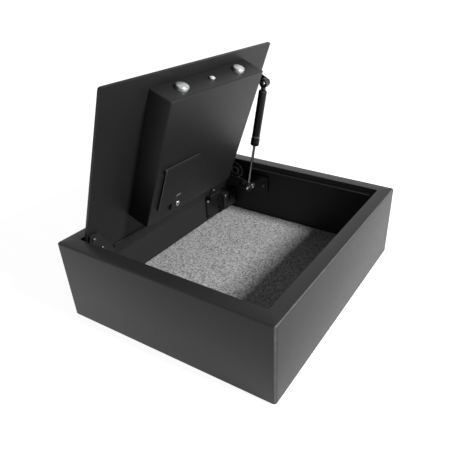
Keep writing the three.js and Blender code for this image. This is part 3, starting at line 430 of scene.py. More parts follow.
class Finish:
    """A procedural material whose patterns lie on Object coordinates"""

    def __init__(self, name, colour, roughness, metallic=0.0, specular=0.5):
        material = bpy.data.materials.new(name)
        material.use_nodes = True
        self.tree = material.node_tree
        self.shader = self.tree.nodes["Principled BSDF"]
        self.give({"Base Color": (*colour, 1), "Roughness": roughness, "Metallic": metallic,
                   "Specular IOR Level": specular})
        self.place = self.node("TexCoord").outputs["Object"]
        self.normal = None

    def give(self, values):
        """Plain values for the shader's own sockets"""
        for socket, value in values.items():
            self.shader.inputs[socket].default_value = value

    def wire(self, source, socket):
        self.tree.links.new(source, self.shader.inputs[socket])

    def node(self, kind, inputs=None, **settings):
        return add_node(self.tree, kind, inputs, **settings)

    def laid(self, stretch):
        return self.node("Mapping", {"Scale": stretch, "Vector": self.place}).outputs["Vector"]

    def grain(self, scale, detail=2.0, roughness=0.5, on=None):
        return self.node("TexNoise", {
            "Scale": scale, "Detail": detail, "Roughness": roughness,
            "Vector": on or self.place}).outputs["Fac"]

    def cells(self, scale, output="Distance", feature="F1", on=None):
        texture = self.node(
            "TexVoronoi", {"Scale": scale, "Vector": on or self.place}, feature=feature)
        return texture.outputs[output]

    def spread(self, source, start, end, low, high):
        """Takes a value from one range to another"""
        return self.node("MapRange", {
            "Value": source, "From Min": start, "From Max": end,
            "To Min": low, "To Max": high}).outputs["Result"]

    def roughen(self, source, low, high):
        self.wire(self.spread(source, 0.3, 0.7, low, high), "Roughness")

    def ramp(self, source, stops):
        """Colours by value, from pairs of position and colour"""
        ramp = self.node("ValToRGB", {"Fac": source})
        marks = ramp.color_ramp.elements
        while len(marks) < len(stops):
            marks.new(0.5)
        for mark, (position, colour) in zip(marks, stops):
            mark.position = position
            mark.color = (*colour, 1)
        return ramp.outputs["Color"]

    def tones(self, source, stops):
        self.wire(self.ramp(source, stops), "Base Color")

    def cloud(self, source, colour, spread, edges=(0.3, 0.7)):
        """Base colour that wanders a little to each side of one tone"""
        low, high = edges
        self.tones(source, [(low, tinted(colour, 1 - spread)), (high, tinted(colour, 1 + spread))])

    def blend(self, share, first, second):
        """Base colour that goes from the first to the second colour with the share"""
        mix = self.node(
            "Mix", {"Factor": share, "A": first, "B": second}, data_type="RGBA", blend_type="MIX")
        self.wire(mix.outputs["Result"], "Base Color")

    def relief(self, height, depth):
        """Depth is in millimetres"""
        inputs = {"Strength": 1.0, "Distance": depth * MM, "Height": height}
        if self.normal:
            inputs["Normal"] = self.normal
        self.normal = self.node("Bump", inputs).outputs["Normal"]
        self.wire(self.normal, "Normal")


def tinted(colour, factor):
    return tuple(min(1.0, channel * factor) for channel in colour)


def powder_coat(name, colour, roughness, peel=0.05, specular=0.5):
    """Baked powder paint: a soft orange peel with a finer grit, and faint clouding"""
    coat = Finish(name, colour, roughness, specular=specular)
    coat.cloud(coat.grain(11, 3), colour, 0.07, (0.32, 0.68))
    coat.roughen(coat.grain(160, 3), roughness - 0.015, roughness + 0.02)
    coat.relief(coat.grain(430, 2), peel)
    coat.relief(coat.grain(1900, 2), peel / 4)
    return coat


def paint_front_fold_highlight(coat):
    """Painted highlight where the sheet folds round from the front: pale paint on the folds that
    face the way a lit fold would
    """
    paint = coat.shader.inputs["Base Color"].links[0].from_socket
    normal = coat.node("TexCoord").outputs["Normal"]
    facing, place = (coat.node("SeparateXYZ", {"Vector": vector}).outputs["Y"]
                     for vector in (normal, coat.place))
    no_highlight, edge_highlight = (0, 0, 0), (1, 1, 1)
    folded = coat.ramp(coat.spread(facing, -1, 1, 0, 1), [
        (0.0, no_highlight), (0.05, no_highlight), (0.12, edge_highlight), (0.27, edge_highlight), (0.38, no_highlight)])
    in_front = coat.spread(place, -FRONT_FOLD, FOLD_FADE - FRONT_FOLD, 1, 0)
    share = coat.node("Math", {0: folded, 1: in_front}, operation="MULTIPLY").outputs["Value"]
    # Pale paint that draws the highlight
    highlight_colour = coat.ramp(coat.grain(90, 3), [
        (0.3, (0.085, 0.085, 0.087)), (0.7, (0.125, 0.125, 0.127))])
    coat.blend(share, paint, highlight_colour)


def plated(name, colour, roughness, cloud=0.06):
    """Plated metal with faint clouding and fine rubbing marks"""
    metal = Finish(name, colour, roughness, metallic=1.0)
    metal.cloud(metal.grain(60, 3), colour, cloud)
    metal.roughen(metal.grain(900, 4, 0.7), roughness * 0.7, roughness * 1.5)
    metal.relief(metal.grain(1500, 3), 0.004)


def moulded(name, colour, roughness, grit=0.02, specular=0.5):
    """Moulded plastic or rubber with a spark-eroded surface"""
    plastic = Finish(name, colour, roughness, specular=specular)
    plastic.cloud(plastic.grain(70, 3), colour, 0.12)
    plastic.roughen(plastic.grain(500, 2), roughness - 0.06, roughness + 0.06)
    plastic.relief(plastic.grain(2400, 2), grit)


def felt(name, dark, light):
    """Speckled needle felt: single fibres of several greys over a cloudy ground"""
    mat = Finish(name, light, 0.95, specular=0.2)
    greys = [dark, tinted(light, 0.42), tinted(light, 0.62), tinted(light, 0.86), light]
    fibres = mat.ramp(
        mat.grain(360, 2, 0.6), list(zip((0.34, 0.43, 0.51, 0.58, 0.66), greys)))
    flecks = mat.ramp(mat.cells(420, "Color"), list(zip((0.0, 0.22, 0.5, 0.78, 1.0), greys)))
    mat.blend(0.25, fibres, flecks)
    mat.relief(mat.grain(900, 4, 0.7), 0.5)
    mat.give({"Sheen Weight": 0.15, "Sheen Roughness": 0.6})


def circuit_lacquer(name):
    """Green lacquer over copper tracks"""
    lacquer = Finish(name, (0.02, 0.11, 0.05), 0.3)
    tracks = lacquer.cells(260, "Distance", "DISTANCE_TO_EDGE", on=lacquer.laid((1, 1, 0.2)))
    lacquer.tones(tracks, [(0.05, (0.05, 0.2, 0.09)), (0.12, (0.015, 0.09, 0.04))])
    lacquer.relief(tracks, 0.05)


def shrink_film(name):
    """Blue film drawn tight over the cells"""
    film = Finish(name, (0.02, 0.11, 0.34), 0.28)
    film.tones(film.grain(25, 4), [(0.35, (0.015, 0.09, 0.28)), (0.65, (0.03, 0.14, 0.4))])
    film.relief(film.grain(120, 3, on=film.laid((1, 0.2, 1))), 0.15)
    film.give({"Coat Weight": 0.4})


def dark_lens(name):
    """Smoke red lens over the signal lamps"""
    glass = Finish(name, (0.1, 0.006, 0.008), 0.08)
    glass.roughen(glass.grain(800, 2), 0.05, 0.12)
    glass.tones(glass.grain(90, 2), [(0.3, (0.085, 0.005, 0.007)), (0.7, (0.12, 0.007, 0.009))])
    glass.give({"Coat Weight": 0.6})


# ---------------------------------------------------------------- operators

class SAFE_OT_finishes(bpy.types.Operator):
    """Make the paints, plated metals, plastics and felt of the safe"""
    bl_idname = "safe.finishes"
    bl_label = "Paints and metals"

    def execute(self, context):
        colours = context.scene.safe_colours
        # The body paint carries a painted highlight on its front folds
        paint_front_fold_highlight(powder_coat("body paint", colours.paint, 0.44, peel=0.02, specular=0.28))
        # The body's powder coat made darker for the lid and its cover: painted shade
        powder_coat("lid paint", tinted(colours.paint, 0.72), 0.46, peel=0.03, specular=0.24)
        # Lighter, glossier copy of the body paint for the bevelled edges: edge wear, with a
        # painted highlight along them
        powder_coat("rubbed edge", tinted(colours.paint, 2.2), 0.3, peel=0.02)
        # Paint twelve times lighter for the battery door's bevels: a painted highlight along its
        # edges
        powder_coat("bright edge", tinted(colours.paint, 12), 0.3, peel=0.02, specular=0.8)
        powder_coat("inner paint", colours.inner_paint, 0.4, peel=0.03, specular=0.35)
        powder_coat("black paint", colours.black_paint, 0.4, peel=0.02, specular=0.22)
        plated("bright chrome", (0.82, 0.83, 0.84), 0.14)
        plated("zinc plate", (0.56, 0.57, 0.58), 0.32, cloud=0.12)
        plated("turned brass", (0.62, 0.44, 0.2), 0.3)
        plated("cell steel", (0.5, 0.5, 0.5), 0.3)
        moulded("black plastic", (0.014, 0.014, 0.015), 0.42)
        moulded("key plastic", colours.key_cap, 0.5)
        moulded("dark band", (0.06, 0.06, 0.062), 0.35)
        moulded("clamp plastic", (0.017, 0.0172, 0.0176), 0.4, specular=0.4)
        plated("dulled zinc", (0.15, 0.15, 0.155), 0.42, cloud=0.12)
        plated("ground rod", (0.5, 0.5, 0.51), 0.2)
        # Brighter steel for the bolts' machined end faces, part of it a painted highlight
        plated("faced steel", (0.7, 0.705, 0.71), 0.27)
        moulded("black rubber", (0.011, 0.011, 0.012), 0.5, grit=0.03)
        # Pale grey for thin rings on the grommet and plug: a painted highlight on their rims
        moulded("worn rubber", (0.7, 0.7, 0.702), 0.35)
        # Lighter plastic for the clamp's bevelled rib edges: a painted highlight
        moulded("worn rib", (0.07, 0.07, 0.071), 0.35)
        moulded("white print", (0.75, 0.75, 0.75), 0.55, grit=0.005)
        felt("needle felt", colours.mat_dark, colours.mat_light)
        circuit_lacquer("green lacquer")
        shrink_film("cell film")
        dark_lens("dark lens")
        return {"FINISHED"}


class SAFE_OT_body(bpy.types.Operator):
    """Folded steel body with its seat frame and keeper plate"""
    bl_idname = "safe.body"
    bl_label = "Steel body"

    def execute(self, context):
        sizes = context.scene.safe_sizes
        wall, corner, fold, edge = (
            size / MM for size in (sizes.wall, sizes.corner, sizes.fold, sizes.edge))
        low, high = local_box("body_shell")
        seat_low, seat_high = local_box("lid_seat_frame")
        opening_x = (seat_low.x + SEAT_LEDGE, seat_high.x - SEAT_LEDGE)
        opening_y = (seat_low.y + SEAT_LEDGE, high.y - REAR_RIM)
        outer = tray(*spans(low, high), corner, fold, True)
        turn_in_rim(outer, opening_x, opening_y, high.z, OPENING_RADIUS)
        inner = tray(*spans(low, high, wall), max(corner - wall, 0.4), 0.4, True)
        turn_in_rim(inner, opening_x, opening_y, high.z - wall, OPENING_RADIUS)
        _, *grommet = between(*local_box("cable_grommet"))
        side_hole = rod(
            GROMMET_HOLE_RADIUS, (high.x - wall - 1, high.x + 1), "X", (0, *grommet))
        holes = [rod(FIXING_HOLE_RADIUS, (-1, wall + 1), "Z", (x, y, 0)) for x, y in FIXING_HOLES]
        body = cut_away(joined_at_mouth(outer, inner), side_hole, *holes)
        put("steel_body", body, "body paint", "body_shell", edge=edge,
            edge_highlight="rubbed edge")
        put_copy("lid_seat_frame", "seat_frame", "body paint", 0.35)
        put_copy("keeper_plate", "keeper", "inner paint", 0.4)
        return {"FINISHED"}


class SAFE_OT_mat(bpy.types.Operator):
    """Needle felt mat on the floor of the safe"""
    bl_idname = "safe.mat"
    bl_label = "Felt mat"

    def execute(self, context):
        pile = context.scene.safe_sizes.pile / MM
        slant, rim_drop = 1, 0.7
        low, high = local_box("carpet_mat")
        width, depth = high.x - low.x, high.y - low.y
        shape = bmesh.new()
        top = bmesh.ops.create_grid(shape, x_segments=220, y_segments=186, size=0.5)["verts"]
        bmesh.ops.scale(shape, vec=(width - slant, depth - slant, 1), verts=top)
        middle = (low + high) / 2
        bmesh.ops.translate(shape, vec=(middle.x, middle.y, high.z - pile), verts=top)
        rim = [v for v in shape.verts if v.is_boundary]
        for vert in shape.verts:
            lift = noise.noise(vert.co * 0.35) * 0.6 + noise.noise(vert.co * 0.9) * 0.4
            vert.co.z += lift * pile
        for vert in rim:
            vert.co.z -= rim_drop
        sides = bmesh.ops.extrude_edge_only(
            shape, edges=[e for e in shape.edges if e.is_boundary])["geom"]
        lower = [v for v in sides if isinstance(v, bmesh.types.BMVert)]
        for vert in lower:
            vert.co.z = low.z
        bmesh.ops.scale(
            shape, vec=(width / (width - slant), depth / (depth - slant), 1), verts=lower)
        bmesh.ops.contextual_create(shape, geom=[e for e in shape.edges if e.is_boundary])
        bmesh.ops.recalc_face_normals(shape, faces=shape.faces)
        put("felt_mat", shape, "needle felt", "carpet_mat")
        return {"FINISHED"}


def screw_shape(head, height, shank, length, slot):
    """A domed slotted screw that points along +Z with its head's seat at zero"""
    profile = [(0, -height), (head * 0.45, -height * 0.96), (head * 0.78, -height * 0.78),
               (head * 0.95, -height * 0.45), (head, -height * 0.12), (head, 0),
               (shank, 0), (shank, length - 0.6), (shank - 0.6, length), (0, length)]
    shape = turned(profile, steps=32)
    groove = block((-head - 1, head + 1), (-slot / 2, slot / 2), (-height - 1, -height * 0.5))
    return cut_away(shape, groove)


def screws(places, direction, length, head=3.6, height=2.0, shank=1.9, slot=0.9):
    """The same screw at several places, each turned a little differently"""
    template = screw_shape(head, height, shank, length, slot)
    turn = Vector((0, 0, 1)).rotation_difference(Vector(direction)).to_matrix().to_4x4()
    shape = bmesh.new()
    for i, place in enumerate(places):
        one = template.copy()
        spin = Matrix.Rotation(math.radians(25 + 67 * i), 4, "Z")
        bmesh.ops.transform(one, matrix=Matrix.Translation(place) @ turn @ spin, verts=one.verts)
        add(shape, one)
    template.free()
    return shape


class SAFE_OT_hinges(bpy.types.Operator):
    """Hinge plates and pins on the side walls, arms and bushes on the lid, with their screws"""
    bl_idname = "safe.hinges"
    bl_label = "Hinges"

    def execute(self, context):
        for side, sign in (("left", -1), ("right", 1)):
            put_copy(
                f"hinge_plate_{side}", f"hinge_mount_{side}", "inner paint", 0.8)
            put_copy(f"hinge_arm_{side}", f"lid_arm_{side}", "inner paint", 0.6)
            low, high = local_box(f"hinge_pin_{side}")
            head, shoulder = (low.x, high.x) if sign > 0 else (-high.x, -low.x)
            profile = [
                (0, head), (5.2, head), *arc((5.2, head + 0.8), 0.8, -90, 0, 3),
                (6, head + 1.6), (4, head + 1.6), (4, PIN_COLLAR), (6.1, PIN_COLLAR),
                (6.5, PIN_COLLAR + 0.4), (6.5, shoulder), (0, shoulder)]
            shape = turned([(r, sign * x) for r, x in profile], "X", (0, hinge.y, hinge.z))
            put(f"pivot_pin_{side}", shape, "black paint", f"hinge_pin_{side}")
            low, high = local_box(f"hinge_bush_{side}", ON_LID)
            inner, outer = (low.x, high.x) if sign > 0 else (-high.x, -low.x)
            profile = [(4.3, inner), (7.2, inner), (7.5, inner + 0.3), (7.5, inner + 0.8),
                       (6, inner + 0.8), (6, outer), (4.3, outer)]
            shape = turned(
                [(r, sign * x) for r, x in profile], "X", (0, hinge.y, hinge.z), closed=True)
            put(f"bearing_bush_{side}", shape, "black plastic", f"hinge_bush_{side}",
                place=ON_LID)
        right, left = (
            screws([(side * HINGE_PLATE_FACE, y, z) for y, z in HINGE_PLATE_SCREWS],
                   (side, 0, 0), 2.5) for side in (1, -1))
        put("hinge_mount_screws", add(right, left), "dulled zinc", "hinge_plate_screw")
        arm_places = [(side * x, y, ARM_FACE) for side in (1, -1) for x, y in ARM_SCREWS]
        put("lid_arm_screws", screws(arm_places, (0, 0, 1), 3), "dulled zinc",
            "hinge_arm_screw", place=ON_LID)
        return {"FINISHED"}


def ball_stud(face, ball, towards):
    """Ball stud along X, from a face on its right to the ball"""
    profile = [(0, -face), (3.3, -face), *arc((0, -ball), BALL_RADIUS, -48, 90, 10)]
    return turned([(radius, -x) for radius, x in profile], "X", (0, *towards))


def strut_socket(level, neck):
    """Moulded ring round a ball with the neck that holds it, drawn in the strut's own frame"""
    half = 4.5
    ring = [(5.3, -half), *arc((6.5, 1 - half), 1, -90, 0, 4),
            *arc((6.5, half - 1), 1, 0, 90, 4), (5.3, half)]
    return add(turned(ring, "X", (0, 0, level), closed=True), turned(neck, middle=(0, 0, level)))


class SAFE_OT_strut(bpy.types.Operator):
    """Gas strut on the right with its ball studs and the bracket on the lid"""
    bl_idname = "safe.strut"
    bl_label = "Gas strut"

    def execute(self, context):
        low, high = local_box("strut_rod", ON_STRUT)
        neck = [(0, 5.5), (3.4, 5.5), (4, 7), (4, 11.4), (3.6, SOCKET_NECK), (0, SOCKET_NECK)]
        put("strut_lower_socket", strut_socket(0, neck), "black plastic", "strut_rod",
            place=ON_STRUT)
        piston = rod(2.5, (10, high.z), "Z", (0, 0, 0), chamfer=0.4)
        put("strut_piston_rod", piston, "ground rod", "strut_rod", place=ON_STRUT)

        low, high = local_box("strut_cylinder", ON_STRUT)
        bottom, top = low.z, strut_length - SOCKET_NECK
        tube = [(3.4, bottom), (6.6, bottom), *arc((7.0, bottom + 0.8), 0.8, -90, 0, 3),
                (7.8, bottom + 8), (7.1, bottom + 8.6), (7.1, bottom + 9.6),
                (7.8, bottom + 10.2), (7.8, bottom + 11.6), (7.0, bottom + 12),
                (7.0, top - 3.5), *arc((3.5, top - 3.5), 3.5, 0, 90, 6), (0, top),
                (0, bottom + 30), (3.4, bottom + 30)]
        put("strut_tube", turned(tube, closed=True), "black paint", "strut_cylinder",
            place=ON_STRUT)
        neck = [(radius, -along) for radius, along in reversed(neck)]
        put("strut_upper_socket", strut_socket(strut_length, neck), "black plastic",
            "strut_cylinder", place=ON_STRUT)
        band = [(7.05, bottom + 14), (7.25, bottom + 14.3), (7.25, bottom + 17.7),
                (7.05, bottom + 18)]
        put("strut_band", turned(band, closed=True), "dark band", "strut_cylinder",
            place=ON_STRUT)

        low, high = local_box("strut_wall_stud")
        wall_stud = ball_stud(high.x, foot_ball.x, foot_ball.yz)
        add(wall_stud, hexagon(6.5, STUD_NUT, "X", (0, *foot_ball.yz)))
        put("strut_lower_stud", wall_stud, "bright chrome", "strut_wall_stud")
        low, high = local_box("strut_lid_stud", ON_LID)
        shut_head = ON_LID.inverted() @ head_ball
        lid_stud = ball_stud(high.x, foot_ball.x, shut_head.yz)
        put("strut_upper_stud", lid_stud, "bright chrome", "strut_lid_stud",
            place=ON_LID)
        put_copy("strut_lid_bracket", "strut_bracket", "black paint", 0.5)
        return {"FINISHED"}


def wall_screw(name, place, length, finish, node):
    put(name, screws([place], (0, 1, 0), length), finish, node)


class SAFE_OT_wall_fittings(bpy.types.Operator):
    """Cable grommet, clamp block and lid stop on the walls"""
    bl_idname = "safe.wall_fittings"
    bl_label = "Wall fittings"

    def execute(self, context):
        low, high = local_box("cable_grommet")
        centre = (0, *between(low, high)[1:])
        face, back = low.x, low.x + 4.5
        profile = [(9, high.x), (9, face + 1), *arc((10, face + 1), 1, 180, 270, 3),
                   *arc((14.3, face + 2.2), 2.2, -90, 0, 5), (16.5, back), (13.2, back),
                   (13.2, high.x)]
        put("grommet", turned(profile, "X", centre, closed=True), "black rubber",
            "cable_grommet")
        low, high = local_box("grommet_plug")
        dome = [(0, low.x), (4, low.x + 0.2), (8, low.x + 0.8), (10.8, low.x + 1.5),
                (12, low.x + 2.4), (12, low.x + 4.3), (8.7, low.x + 4.3), (8.7, high.x),
                (0, high.x)]
        put("blank_plug", turned(dome, "X", centre), "black plastic", "grommet_plug")
        # Thin pale rings on the grommet and plug rims are a painted highlight
        for name, radius, level, node, slot in (
                ("grommet_bead", 15.3, face + 0.3, "cable_grommet", "rubber"),
                ("plug_bead", 7, low.x + 0.6, "grommet_plug", "black_plastic")):
            bead = turned(arc((radius, level), 0.9, 0, 330, 11), "X", centre, closed=True)
            put(name, bead, "worn rubber", node)
        low, high = local_box("clamp_base")
        base = pad(*spans(low, high), 0.8, 0.5)
        grooves = [block((low.x - 1, low.x + 0.9), (y, y + 1.4), (low.z + 4, high.z - 5))
                   for y in (low.y + 2.6, low.y + 6.2, low.y + 9.8)]
        # The clamp's bevel faces take the lighter plastic, a painted highlight on the ribs
        put("clamp_block", cut_away(base, *grooves), "clamp plastic", "clamp_base",
            edge=0.25, edge_highlight="worn rib")
        put_copy(
            "clamp_cover", "clamp_plate", "clamp plastic", 0.4, edge_highlight="worn rib")
        low, high = local_box("clamp_screw")
        x, _, z = between(low, high)
        wall_screw("clamp_screw_upper", (x, low.y + 2, z), 8.7, "dulled zinc", "clamp_screw")
        low, high = local_box("clamp_cover")
        wall_screw("clamp_screw_lower", (x, low.y + 1.2, low.z + high.z - z), 8.7,
                   "black paint", "clamp_screw")
        put_copy("lid_stop_bracket", "stop_bracket", "black paint", 0.5)
        put_copy("lid_stop_buffer", "stop_buffer", "black rubber", 0.8)
        low, high = local_box("lid_stop_screw")
        x, _, z = between(low, high)
        wall_screw("stop_screw_upper", (x, low.y + 2, z), 2.5, "bright chrome", "lid_stop_screw")
        wall_screw("stop_screw_lower", (x, low.y + 2, LOWER_STOP_SCREW), 2.5, "black paint",
                   "lid_stop_screw")
        return {"FINISHED"}


class SAFE_OT_lid(bpy.types.Operator):
    """Lid plate with its stiffener"""
    bl_idname = "safe.lid"
    bl_label = "Lid"

    def execute(self, context):
        put_copy("lid_plate", "lid_sheet", "lid paint", 0.7, 3, "rubbed edge")
        low, high = local_box("lid_stiffener", ON_LID)
        strip = block((low.x, high.x), (low.y, high.y), (low.z, high.z + 0.25))
        soften(strip, level_edges(strip, low.z), 1.2, 4)
        put("lid_stiffener_strip", strip, "lid paint", "lid_stiffener",
            place=ON_LID)
        return {"FINISHED"}


class SAFE_OT_bolt_cover(bpy.types.Operator):
    """Folded cover over the locking parts, with the battery door and its screw"""
    bl_idname = "safe.bolt_cover"
    bl_label = "Bolt cover"

    def execute(self, context):
        low, high = local_box("bolt_cover", ON_LID)
        face, wall = COVER_FACE, COVER_SHEET
        x, y = (low.x, high.x), (low.y, high.y)
        outer = tray(x, y, (face, high.z), 2, 1.5)
        inner = tray((x[0] + wall, x[1] - wall), (y[0] + wall, y[1] - wall),
                     (face + wall, high.z), 0.6, 0.4)
        front, through = (y[0] - 2, y[0] + 4), (face - 2, face + 4)
        holes = [rod(radius, front, "Y", middle_of(node, ON_LID)) for node, radius in (
            ("bolt_left", 9.4), ("bolt_right", 9.4), ("lid_plunger", 4.8))]
        tray_low, tray_high = local_box("battery_holder", ON_LID)
        screw_x, screw_y, _ = between(*local_box("cover_screw", ON_LID))
        holes.append(rod(3.4, through, "Z", (screw_x, screw_y, 0)))
        holes.append(block(
            (tray_low.x + 2, tray_high.x - 2), (tray_low.y + 2, tray_high.y - 2), through))
        shape = cut_away(joined_at_mouth(outer, inner), *holes)
        axis_y = tray_low.y - 0.5
        for lug_x in (tray_low.x - 4.3, tray_high.x + 1.3):
            lug = ((lug_x, lug_x + 3), (axis_y - 1.6, axis_y + 1.6), (LUG_FOOT, face + 0.5))
            add(shape, pad(*lug, 0.6, 0))
        put("cover_box", shape, "lid paint", "bolt_cover", place=ON_LID, edge=0.35)

        door_low, door_high = local_box("battery_cover", ON_LID)
        notch_y = axis_y + DOOR_LENGTH - DOOR_NOTCH
        notch = block((screw_x - 7, screw_x + 6), (notch_y - 1.2, notch_y + 3.4),
                      (door_low.z - 1, door_high.z + 1))
        leaf = cut_away(copied("battery_cover", ON_LID), notch)
        # The door's bevels take the much lighter paint, a painted highlight
        put("battery_door_leaf", leaf, "lid paint", "battery_cover",
            place=ON_LID, edge=0.45, segments=3, edge_highlight="bright edge")
        tongue = pad((screw_x - 5, screw_x + 4), (notch_y + 1.2, notch_y + 3),
                     (door_low.z + 0.6, door_high.z), 0.4, 0.2)
        put("door_latch_tongue", tongue, "bright chrome", "battery_cover",
            place=ON_LID)
        seat = (screw_x, screw_y, door_low.z - 0.3)
        screw = screws([seat], (0, 0, 1), 6, head=4.5, height=2.6, shank=2, slot=1.1)
        put("door_screw_head", screw, "bright chrome", "cover_screw", place=ON_LID)
        return {"FINISHED"}


class SAFE_OT_bolts(bpy.types.Operator):
    """Locking bolts, lid plunger and the drive that moves the bolts"""
    bl_idname = "safe.bolts"
    bl_label = "Bolts and drive"

    def execute(self, context):
        for side in ("left", "right"):
            low, high = local_box(f"bolt_{side}", ON_LID)
            tip, end, middle = low.y, high.y, middle_of(f"bolt_{side}", ON_LID)
            profile = [(0, tip), (7.9, tip), *arc((7.9, tip + 1.1), 1.1, -90, 0, 4),
                       (9, end - 0.8), (8.2, end), (0, end)]
            put(f"locking_bolt_{side}", turned(profile, "Y", middle), "zinc plate",
                f"bolt_{side}", place=ON_LID)
            # The end face is machined steel brighter than the plated side; part of that brightness
            # is a painted highlight
            face = [(0, tip - 0.15), (7.2, tip - 0.15), (7.5, tip + 0.1), (7.2, tip + 0.6),
                    (0, tip + 0.6)]
            put(f"bolt_face_{side}", turned(face, "Y", middle), "faced steel", f"bolt_{side}",
                place=ON_LID)
        low, high = local_box("lid_plunger", ON_LID)
        tip = low.y
        profile = [(0, tip), (3, tip), *arc((3.4, tip + 1.1), 1.1, -90, 0, 4),
                   (4.5, PLUNGER_COLLAR), (6.2, PLUNGER_COLLAR + 0.1),
                   (6.2, PLUNGER_COLLAR + 0.8), (3.2, PLUNGER_COLLAR + 0.9),
                   (3.2, high.y - 0.4), (2.8, high.y), (0, high.y)]
        put("plunger_pin", turned(profile, "Y", middle_of("lid_plunger", ON_LID)),
            "bright chrome", "lid_plunger", place=ON_LID)
        put_copy("bolt_bar", "drive_bar", "zinc plate", 0.3)
        put_copy("drive_pinion", "pinion_gear", "turned brass", 0.15)
        put_copy("bolt_guide", "guide_block", "inner paint", 0.5)
        low, high = local_box("gear_motor", ON_LID)
        _, y, z = between(low, high)
        start, end = high.x - 30, high.x
        profile = [(0, low.x), (1.7, low.x), (1.7, start), (8.2, start), (9, start + 0.8),
                   (9, start + 9), (8.5, start + 9.3), (8.5, start + 9.9), (9, start + 10.2),
                   (9, end - 2.5), (8.4, end - 1.6), (5, end - 1.4), (4.6, end), (0, end)]
        put("motor_can", turned(profile, "X", (0, y, z)), "zinc plate", "gear_motor",
            place=ON_LID)
        put_copy("motor_bracket", "motor_saddle", "inner paint", 0.5)
        return {"FINISHED"}


class SAFE_OT_power(bpy.types.Operator):
    """Circuit board, battery holder and the cells"""
    bl_idname = "safe.power"
    bl_label = "Board and batteries"

    def execute(self, context):
        put_copy("circuit_board", "control_board", "green lacquer", 0.2)
        put_copy("battery_holder", "cell_holder", "black plastic", 0.5)
        low, high = local_box("battery_pack", ON_LID)
        middle_x, middle_y, z = between(low, high)
        half = (high.y - low.y) / 2 - 1.2
        cells, caps = bmesh.new(), bmesh.new()
        for i in range(4):
            x = middle_x + (i - 1.5) * CELL_PITCH
            flip = -1 if i % 2 == 0 else 1
            jacket = [(0, -half), (6.3, -half), *arc((6.3, 0.8 - half), 0.8, -90, 0, 3),
                      *arc((6.3, half - 0.8), 0.8, 0, 90, 3), (4.6, half), (4.4, half - 0.4),
                      (0, half - 0.4)]
            add(cells, turned([(r, flip * y) for r, y in jacket], "Y", (x, middle_y, z), steps=32))
            knob = [(0, half + 1.2), (2.3, half + 1.2), (2.7, half + 0.8), (2.7, half - 0.4),
                    (0, half - 0.4)]
            add(caps, turned([(r, flip * y) for r, y in knob], "Y", (x, middle_y, z), steps=24))
        put("dry_cells", cells, "cell film", "battery_pack", place=ON_LID)
        put("cell_contacts", caps, "cell steel", "battery_pack", place=ON_LID)
        return {"FINISHED"}


class SAFE_OT_lock(bpy.types.Operator):
    """Override lock with its turning plug and the cover over the keyhole"""
    bl_idname = "safe.lock"
    bl_label = "Override lock"

    def execute(self, context):
        low, high = local_box("lock_cylinder", ON_LID)
        middle = (*between(low, high)[:2], 0)
        profile = [(5.8, low.z), (8.6, low.z), (9, low.z + 0.4), (9, high.z - 0.8),
                   (8.2, high.z), (6.4, high.z), (5.8, high.z - 0.6)]
        shape = turned(profile, "Z", middle, closed=True)
        bore = (LOCK_NUT[0] - 1.7, LOCK_NUT[1] + 1.3)
        nut = cut_away(hexagon(12, LOCK_NUT, "Z", middle), rod(8.8, bore, "Z", middle))
        put("lock_barrel", add(shape, nut), "bright chrome", "lock_cylinder",
            place=ON_LID)
        put_copy("lock_plug", "lock_core", "zinc plate", 0.25)
        put_copy("key_cover", "keyhole_flap_disc", "black plastic", 0.3)
        return {"FINISHED"}


def sign_shape(sign, centre):
    """A raised letter or digit, lying flat round its centre"""
    curve = bpy.data.curves.new("sign", "FONT")
    curve.body = sign
    curve.size = 8
    curve.align_x = "CENTER"
    curve.align_y = "CENTER"
    curve.extrude = 0.04
    writing = bpy.data.objects.new("sign", curve)
    bpy.context.scene.collection.objects.link(writing)
    bpy.context.view_layer.update()
    drawn = bpy.data.meshes.new_from_object(
        writing.evaluated_get(bpy.context.evaluated_depsgraph_get()))
    bpy.data.objects.remove(writing)
    bpy.data.curves.remove(curve)
    shape = bmesh.new()
    shape.from_mesh(drawn)
    bpy.data.meshes.remove(drawn)
    bmesh.ops.remove_doubles(shape, verts=shape.verts, dist=0.001)
    bmesh.ops.translate(shape, vec=centre, verts=shape.verts)
    return shape


class SAFE_OT_keypad(bpy.types.Operator):
    """Keypad housing, its keys with their digits, and the signal lens"""
    bl_idname = "safe.keypad"
    bl_label = "Keypad"

    def execute(self, context):
        put_copy("keypad_housing", "keypad_shell", "black plastic", 0.6, 3)
        put_copy("keypad_lens", "signal_lens", "dark lens", 0.3)
        for name in ("1", "2", "3", "4", "5", "6", "7", "8", "9", "clear", "0", "enter"):
            node = f"key_{name}"
            put_copy(node, f"keycap_{name}", "key plastic", 0.3)
            low, high = local_box(node, ON_LID)
            sign = {"clear": "C", "enter": "E"}.get(name, name)
            shape = sign_shape(sign, (*between(low, high)[:2], high.z + 0.02))
            put(f"digit_{name}", shape, "white print", node, place=ON_LID)
        return {"FINISHED"}


